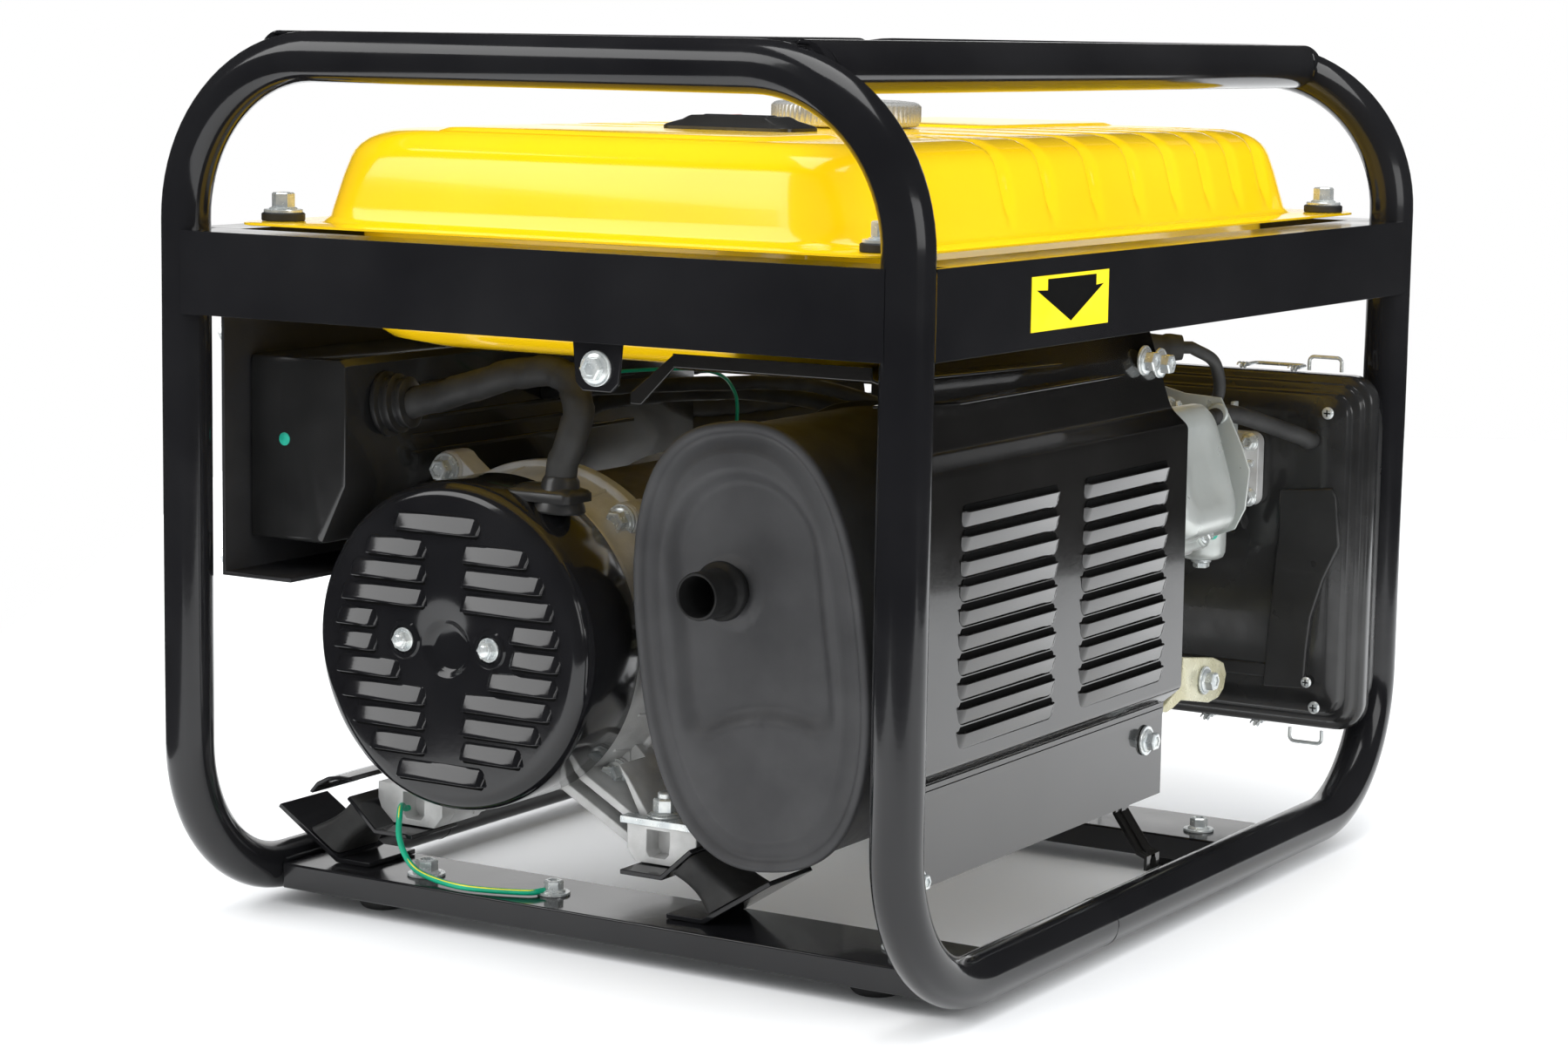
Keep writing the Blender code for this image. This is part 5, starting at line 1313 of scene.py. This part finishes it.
def build_handle():
    hx, hy, hz = HANDLE
    bm = bmesh.new()
    sections = ((0.4, 4.4, 4.6, 3), (3, 5, 5.2, 3.4), (8, 5.6, 8.4, 4), (11, 6.6, 18, 5),
                (12.6, 7.6, 30, 6), (14, 8.2, 37, 7), (17, 8.8, 40.6, 8), (21, 9, 42, 8.4),
                (26, 9, 42, 8.4), (29.5, 8.6, 41, 8), (32, 7.4, 39, 7), (33, 5, 35.6, 4.6))
    skin(bm, [[(hx + a, hy - out, hz + b) for a, b in rounded_rect(hw, ht, r, 6)]
              for out, hw, ht, r in sections])
    for k in range(7):
        z = hz - 30 + k * 10
        loop = [(hx + a, hy - b, z) for a, b in rounded_rect(9.05, 7.5, 5, 8)]
        tube(bm, [(p[0], p[1] - 23, p[2]) for p in loop], 0.9, 8, closed=True)
    piece("starter_grip", bm, PLASTIC, "starter_handle_body",
          ("starter_handle",), smooth=50)
    bm = bmesh.new()

    def braid(i, a):
        return 2.3 + 0.2 * math.cos(a * 6 + i)
    inside, knot = Vector((hx, CRANK_Y - 40, hz)), Vector((hx, hy - 4, hz))
    dense = [inside.lerp(knot, i / 60) for i in range(61)]
    tube(bm, dense, braid, 18)
    rope = piece("starter_rope", bm, GREY_PLASTIC, None, smooth=60)
    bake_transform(rope)


# ---------------------------------------------------------------- control panel
def build_panel():
    x0, x1 = PANEL_X
    z0, z1 = PANEL_Z
    y = PANEL_Y
    refined("control_panel", PANEL_PLASTIC, bevel=0.9)
    bm = bmesh.new()
    back = y + 2.3
    shape = [(back, 196), (back, 291), (back + 2, 292), (-150, 292), (-147, 289), (-147, 227),
             (-162, 196.5), (-164, 196)]
    loops = []
    for x, i in ((BOX_X[0], 3), (BOX_X[0] + 1, 0.8), (BOX_X[0] + 3, 0), (BOX_X[1] - 3, 0),
                 (BOX_X[1] - 1, 0.8), (BOX_X[1], 3)):
        cy, cz = -180.0, 244.0
        loops.append([(x, cy + (p - cy) * (1 - i / 30), cz + (q - cz) * (1 - i / 48))
                      for p, q in shape])
    skin(bm, loops)
    for k in range(5):
        z = 238 + k * 9
        block(bm, (-30, 180), (-147.2, -146.4), (z, z + 2.4))
    piece("control_box_shell", bm, SHINY_PLASTIC, hides=("control_box",),
          smooth=35, bevel=1.4)
    bm = bmesh.new()
    turned(bm, [(3.4, 0), (3.4, 0.4), (2.6, 0.7), (0.1, 0.8)], (236, -186, 249), TO_END, 20)
    piece("control_box_mark", bm, GREEN_DOT)
    bm = bmesh.new()
    for x in (x0 + 9, x1 - 9):
        for z in (z0 + 9, z1 - 9):
            hex_bolt(bm, (x, y - 0.2, z), TO_PANEL, 4.2, 4.6, 6.4)
    piece("panel_bolts", bm, ZINC)
    bm = bmesh.new()
    for cx, hx, hz in ((110, 66, 36), (10, 28, 30), (205, 22, 44), (-60, 20, 30)):
        outer = rounded_rect(hx, hz, 5, 6)
        inner = rounded_rect(hx - 1, hz - 1, 4.2, 6)
        loops = [[(cx + a, y - d, PANEL_MID_Z + (-4 if cx == 205 else 0) + b)
                  for a, b in shape] for shape, d in ((outer, 0.05), (outer, 0.25),
                                                      (inner, 0.25), (inner, 0.05))]
        skin(bm, loops, ring=True)
    piece("panel_borders", bm, WHITE_INK)


def build_panel_fittings():
    y = PANEL_Y
    for node, x in (("outlet_near_engine", 75.0), ("outlet_near_alternator", 145.0)):
        bm = bmesh.new()
        at = (x, y, PANEL_MID_Z)
        turned(bm, [(18.6, -3), (19.4, -3.6), (23.4, -3.6), (24.3, -2.8), (24.5, -1.2),
                    (24.5, -0.3), (21.6, -0.3), (21.6, 22), (1, 22), (1, 14), (18.2, 14)],
               at, TO_MUFFLER, 72, ring=True)
        turned(bm, [(0.1, 13.2), (18.4, 13.2), (18.4, 14.6), (0.1, 14.6)], at, TO_MUFFLER, 48,
               ring=True)
        for dx in (-19.0, 19.0):
            block(bm, (x + dx - 1.4, x + dx + 1.4), (y - 1, y + 12),
                  (PANEL_MID_Z - 3.4, PANEL_MID_Z + 3.4))
        piece(node + "_cup", bm, GREY_PLASTIC, hides=(node,), smooth=40,
              bevel=0.25)
        bm = bmesh.new()
        # near-black discs at the pin holes: painted shade inside the socket
        for dx in (-9.5, 9.5):
            turned(bm, [(0.1, 0), (2.8, 0), (2.8, 0.5), (0.1, 0.5)],
                   (x + dx, y + 13.1, PANEL_MID_Z), TO_PANEL, 24)
        piece(node + "_hole_shade", bm, SHADE_AND_INK)
        bm = bmesh.new()
        for dz in (-16.4, 16.4):
            block(bm, (x - 3, x + 3), (y + 2, y + 12.6),
                  sorted((PANEL_MID_Z + dz, PANEL_MID_Z + dz * 1.07)))
        piece(node + "_contacts", bm, MACHINED, bevel=0.2)
    build_voltmeter()
    refined("engine_switch", RED_PLASTIC, "engine_switch_body", bevel=0.7)
    bm = bmesh.new()
    frame_rect = ((11.4, 10.8, 0.3), (11.4, 10.8, 1.8), (10.6, 10.0, 2.4), (9.2, 8.4, 2.4),
                  (8.9, 8.1, 1.6), (8.9, 8.1, 0.3))
    skin(bm, [[(-60 + a, y - d, 252 + b) for a, b in rounded_rect(hx, hz, 2, 5)]
              for hx, hz, d in frame_rect], ring=True)
    piece("switch_bezel", bm, PLASTIC, smooth=40)
    bx, bz = 205.0, 262.0
    bm = bmesh.new()
    turned(bm, [(0.1, -6), (3.4, -6), (5.2, -5.6), (6, -4.6), (6, 5.8), (0.1, 5.8)],
           (bx, y, bz), TO_MUFFLER, 48)
    piece("breaker_cap", bm, SHINY_PLASTIC, "breaker_button_body",
          ("breaker_button",), smooth=40)
    bm = bmesh.new()
    turned(bm, [(6.6, 0.2), (9, 0.2), (9, 2.6), (8.4, 3), (6.6, 3)], (bx, y, bz), TO_PANEL, 6,
           ring=True)
    piece("breaker_nut", bm, ZINC, bevel=0.3)
    bm = bmesh.new()
    at = (bx, y, 205)
    turned(bm, [(0.1, 0.3), (7, 0.3), (7.2, 0.6), (7.2, 1.6), (7, 2), (0.1, 2)], at, TO_PANEL,
           32)
    turned(bm, [(5.4, 1.9), (5.8, 2.2), (5.8, 3.4), (5.4, 3.8)], at, TO_PANEL, 6)
    turned(bm, [(2.4, 3.6), (2.4, 4.4), (5.4, 4.5), (6.5, 5), (6.5, 7.6), (6, 8.2), (0.1, 8.2)],
           at, TO_PANEL, 72, knurl=(24, 0.5, 4.9, 7.7))
    piece("earth_terminal_stud", bm, ZINC, hides=("earth_terminal",), smooth=40)


def build_voltmeter():
    cx, cz, y = 10.0, PANEL_MID_Z, PANEL_Y
    bm = bmesh.new()
    body = ((23, 0.3), (23, 4.6), (22.4, 5.4), (20.4, 7), (19.6, 7), (18.8, 5.6), (18.8, 3.4),
            (6, 3.4))
    skin(bm, [[(cx + a, y - d, cz + b) for a, b in rounded_rect(h, h, 4 if h > 10 else 2, 6)]
              for h, d in body])
    piece("voltmeter_case", bm, SHINY_PLASTIC, hides=("voltmeter",),
          smooth=40)
    bm = bmesh.new()
    skin(bm, [[(cx + a, y - d, cz + b) for a, b in rounded_rect(18.2, 18.2, 3, 5)]
              for d in (3.5, 3.9)])
    piece("voltmeter_dial", bm, WHITE_INK)
    bm = bmesh.new()
    low = (cx, y - 3.95, cz - 12)
    for k in range(13):
        a = math.radians(150 - 10 * k)
        r0, r1 = (18.5, 23.5) if k % 3 == 0 else (20.5, 23.5)
        c, s = math.cos(a), math.sin(a)
        w = 0.28
        skin(bm, [[(low[0] + r * c - e * s, low[1] - d, low[2] + r * s + e * c)
                   for r, e in ((r0, -w), (r1, -w), (r1, w), (r0, w))] for d in (0, 0.1)])
    skin(bm, [[(low[0] + p, low[1] - d, low[2] + q)
               for p, q in ((-0.7, 0), (0.7, 0), (-8.6, 19), (-9, 19))] for d in (0.4, 0.7)])
    turned(bm, [(3.6, 0), (3.6, 1.0), (2.8, 1.5), (0.1, 1.5)], low, TO_PANEL, 24)
    piece("voltmeter_scale", bm, SHADE_AND_INK)


# ---------------------------------------------------------------- leads
def straight_ended(path, start, end):
    """Smooth curve with a straight run to a given start and end."""
    return [Vector(start)] + smooth_path(path, 10) + [Vector(end)]


TAPE_PITCH, TAPE_DEPTH = 7, 0.06


def taped(radius):
    """Radius of a hose wound with overlapping tape."""
    def value(i, a):
        wound = (i / TAPE_PITCH + a / TURN) % 1.0
        return radius * (1 - TAPE_DEPTH + TAPE_DEPTH * wound * 2)
    return value


def build_leads():
    wall = BOX_BACK_Y + GAP
    bm = bmesh.new()
    loom = straight_ended(((214, -27, 246), (208, -22, 272), (203, -34, 289), (200, -64, 288),
                           (200, -104, 276), (203, wall + 12, 267)), (215, -28.5, 226),
                          (203, wall, 267))
    tube(bm, loom, taped(7.9), 24)
    piece("loom_sleeve", bm, RUBBER, hides=("loom",), smooth=60)
    bm = bmesh.new()
    turned(bm, [(8.0, 0), (16, 0), (17, 1), (17, 3), (14.4, 4), (14.4, 6), (15.4, 7),
                (15.4, 9.4), (12.6, 10.6), (12.6, 12.6), (13.4, 13.6), (13.4, 15.6),
                (10.6, 17), (8.0, 17)], (203, wall, 267), Vector((-0.16, 1, 0.12)), 40,
           ring=True)
    turned(bm, [(7.6, 0), (13, 0), (13.6, 1), (12.8, 4), (10.6, 8), (9.4, 16), (8.2, 18),
                (7.6, 18)], (215, -28.5, 222), Vector((-0.03, 0.05, 1)), 36, ring=True)
    skin(bm, [[(215 + a, -35 + b, z) for a, b in rounded_rect(12 - i, 20 - i, 4, 6)]
              for z, i in ((227.6, 0), (231.6, 0), (233.0, 1.2), (235.4, 6))])
    piece("loom_boots", bm, PLASTIC, smooth=45)
    y, z = along_cylinder(206, 46.3)
    y1, z1 = along_cylinder(206, 56)
    cap_end = (CYL_X - 32, y1 + 37, z1 + 24)
    cap = straight_ended(((CYL_X - 8, y1, z1), (CYL_X - 9, y1 + 3, z1 + 12),
                          (CYL_X - 16, y1 + 16, z1 + 22), (CYL_X - 28, y1 + 32, z1 + 24)),
                         (CYL_X - 8, y, z), cap_end)
    last = len(cap) - 1
    bm = bmesh.new()
    tube(bm, cap, lambda i, a: 9.6 - 2.6 * ease(last - 12, last, i)
         + (0.8 if i % 6 in (0, 1) else 0.0), 28)
    piece("spark_plug_boot", bm, RUBBER, hides=("spark_plug_cap",), smooth=55)
    end = Vector(cap_end)
    out = (end - cap[-2]).normalized()
    lead = straight_ended((end + out * 6, (end.x - 20, end.y + 12, end.z - 10),
                           (end.x - 26, end.y + 10, end.z - 32),
                           (end.x - 24, end.y - 16, end.z - 46), (CASE_X[0] - 8, 62, 222),
                           (CASE_X[0] - 12, 30, 205)), end - out * 4,
                          (CASE_X[0] - 12, 24, 202))
    bm = bmesh.new()
    tube(bm, lead, 3.5, 20)
    piece("ignition_cable", bm, RUBBER, hides=("ignition_lead",), smooth=60)
    hy, hz = along_cylinder(247, 26)
    x0, x1 = CYL_X - 43 - GAP, CLEANER_X[0] + GAP
    hose = straight_ended(((x0 - 6, hy, hz), (x0 - 20, hy + 8, hz + 2), (x1 + 14, hy + 28, hz - 12),
                           (x1 + 5, hy + 32, hz - 16)), (x0, hy, hz), (x1, hy + 32, hz - 16))
    bm = bmesh.new()
    tube(bm, hose, 5, 24)
    piece("breather_tube", bm, RUBBER, hides=("breather_hose",), smooth=60)
    low = CHANNEL_TOP_Z + 2.2
    ground = smooth_path(((199, -136, 54), (205, -134, 57), (212, -130, 54), (216, -127, 42),
                          (217, -119, 30), (220, -104, low + 0.8), (224, -78, low),
                          (215, -48, low), (206, -42, low)), 10)
    ground.insert(0, Vector((196.4, -136, 54)))
    bm = bmesh.new()
    tube(bm, ground, 1.6, 16)
    thread = [p + Vector((0.75, 0.2, 0.95)) for p in ground[2:]]
    tube(bm, thread, 0.5, 8, mat=1)
    piece("ground_wire_sleeve", bm, [GREEN_SLEEVE, YELLOW_THREAD],
          hides=("ground_wire",), smooth=60)
    bm = bmesh.new()
    turned(bm, [(3, 0), (5.6, 0), (5.6, 1), (3, 1)], (203, -40, CHANNEL_TOP_Z + 0.8), UP, 24,
           ring=True)
    piece("ground_wire_eyelet", bm, ZINC, bevel=0.2)


# ---------------------------------------------------------------- light and view
WORLD_SEEN, WORLD_LIGHT, WORLD_MIRRORED = 1.0, 1.45, 0.03
FLOOR_BEHIND, FLOOR_RIGHT = Vector((-0.86, -0.51, 0)), Vector((-0.51, 0.86, 0))
FLOOR_SPAN = ((-1.0, 2.2), (-0.62, 1.25))


def build_floor():
    """Pale paper sheet under the set, turned to face the viewer."""
    mat = surface("pale_floor", (0.93, 0.935, 0.94), (0.96, 0.965, 0.97), (0.5, 0.62),
                  patch=1.5, grain=60, bump=0.02)
    bm = bmesh.new()
    steps = 40
    (b0, b1), (r0, r1) = FLOOR_SPAN
    grid = [[bm.verts.new(FLOOR_BEHIND * (b0 + (b1 - b0) * i / steps)
                          + FLOOR_RIGHT * (r0 + (r1 - r0) * j / steps))
             for j in range(steps + 1)] for i in range(steps + 1)]
    for i in range(steps):
        for j in range(steps):
            bm.faces.new((grid[i][j], grid[i][j + 1], grid[i + 1][j + 1], grid[i + 1][j]))
    bmesh.ops.recalc_face_normals(bm, faces=bm.faces)
    mesh = bpy.data.meshes.new("floor")
    bm.to_mesh(mesh)
    bm.free()
    mesh.materials.append(mat)
    obj = bpy.data.objects.new("floor", mesh)
    bpy.context.scene.collection.objects.link(obj)


def area_light(name, at, aim, size, power):
    data = bpy.data.lights.new(name, "AREA")
    data.shape = "RECTANGLE"
    data.size, data.size_y = size
    data.energy = power
    obj = bpy.data.objects.new(name, data)
    obj.location = at
    obj.rotation_euler = (Vector(aim) - Vector(at)).to_track_quat("-Z", "Y").to_euler()
    bpy.context.scene.collection.objects.link(obj)


def build_world():
    """White studio: full white to the camera, bright as a light, dim in reflections."""
    world = bpy.data.worlds.new("studio")
    bpy.context.scene.world = world
    world.use_nodes = True
    nodes, links = world.node_tree.nodes, world.node_tree.links
    path = nodes.new("ShaderNodeLightPath")
    shader = nodes["Background"]
    shader.inputs["Color"].default_value = (1, 1, 1, 1)
    shader.inputs["Strength"].default_value = WORLD_MIRRORED
    for ray, colour, strength in (("Is Diffuse Ray", (0.97, 0.985, 1.0, 1), WORLD_LIGHT),
                                  ("Is Camera Ray", (1, 1, 1, 1), WORLD_SEEN)):
        other = nodes.new("ShaderNodeBackground")
        other.inputs["Color"].default_value = colour
        other.inputs["Strength"].default_value = strength
        mix = nodes.new("ShaderNodeMixShader")
        links.new(path.outputs[ray], mix.inputs["Fac"])
        links.new(shader.outputs[0], mix.inputs[1])
        links.new(other.outputs["Background"], mix.inputs[2])
        shader = mix
    links.new(shader.outputs[0], nodes["World Output"].inputs["Surface"])


def build_lights():
    area_light("overhead_softbox", (0.3, 0.2, 2.0), (0, 0, 0.2), (1.3, 1.3), 20)
    area_light("front_softbox", (1.7, -1.4, 1.75), (0.2, -0.1, 0.15), (1.5, 1.3), 24)
    area_light("side_panel", (0.5, 2.3, 0.8), (0, 0, 0.1), (1.5, 0.8), 10)
    area_light("back_panel", (-1.8, -1.07, 0.45), (0, 0, 0.15), (2.6, 0.7), 6)


VIEW_AT = (1.6547, 0.9721, 0.4619)
VIEW_YAW, VIEW_PITCH, VIEW_ROLL = -148.878, -7.954, 0.9135
VIEW_LENS = 81.25


def build_camera():
    yaw, pitch, roll = (math.radians(v) for v in (VIEW_YAW, VIEW_PITCH, VIEW_ROLL))
    ahead = Vector((math.cos(pitch) * math.cos(yaw), math.cos(pitch) * math.sin(yaw),
                    math.sin(pitch)))
    level = ahead.cross(Vector(UP)).normalized()
    rise = level.cross(ahead)
    right = level * math.cos(roll) + rise * math.sin(roll)
    top = rise * math.cos(roll) - level * math.sin(roll)
    turn = Matrix((right, top, -ahead)).transposed()
    data = bpy.data.cameras.new("view")
    data.lens = VIEW_LENS
    data.sensor_width = 36
    data.clip_start = 0.05
    obj = bpy.data.objects.new("view", data)
    obj.matrix_world = Matrix.Translation(Vector(VIEW_AT)) @ turn.to_4x4()
    bpy.context.scene.collection.objects.link(obj)
    bpy.context.scene.camera = obj
    bpy.context.scene.view_settings.view_transform = "Standard"


BUILD_ORDER = (
    build_camera, build_world, build_lights, build_floor, build_frame, build_frame_bolts,
    arrow_label, build_tank, build_tank_fittings, build_alternator_cover, build_end_bell,
    build_alternator_rest, build_mounts, build_muffler, build_shield, build_baffle,
    build_crankcase, build_head, build_engine_trim, build_ignition_coil, build_carburetor,
    build_air_cleaner, build_clips, build_starter, build_panel, build_panel_fittings,
    build_leads,
)

for build in BUILD_ORDER:
    build()
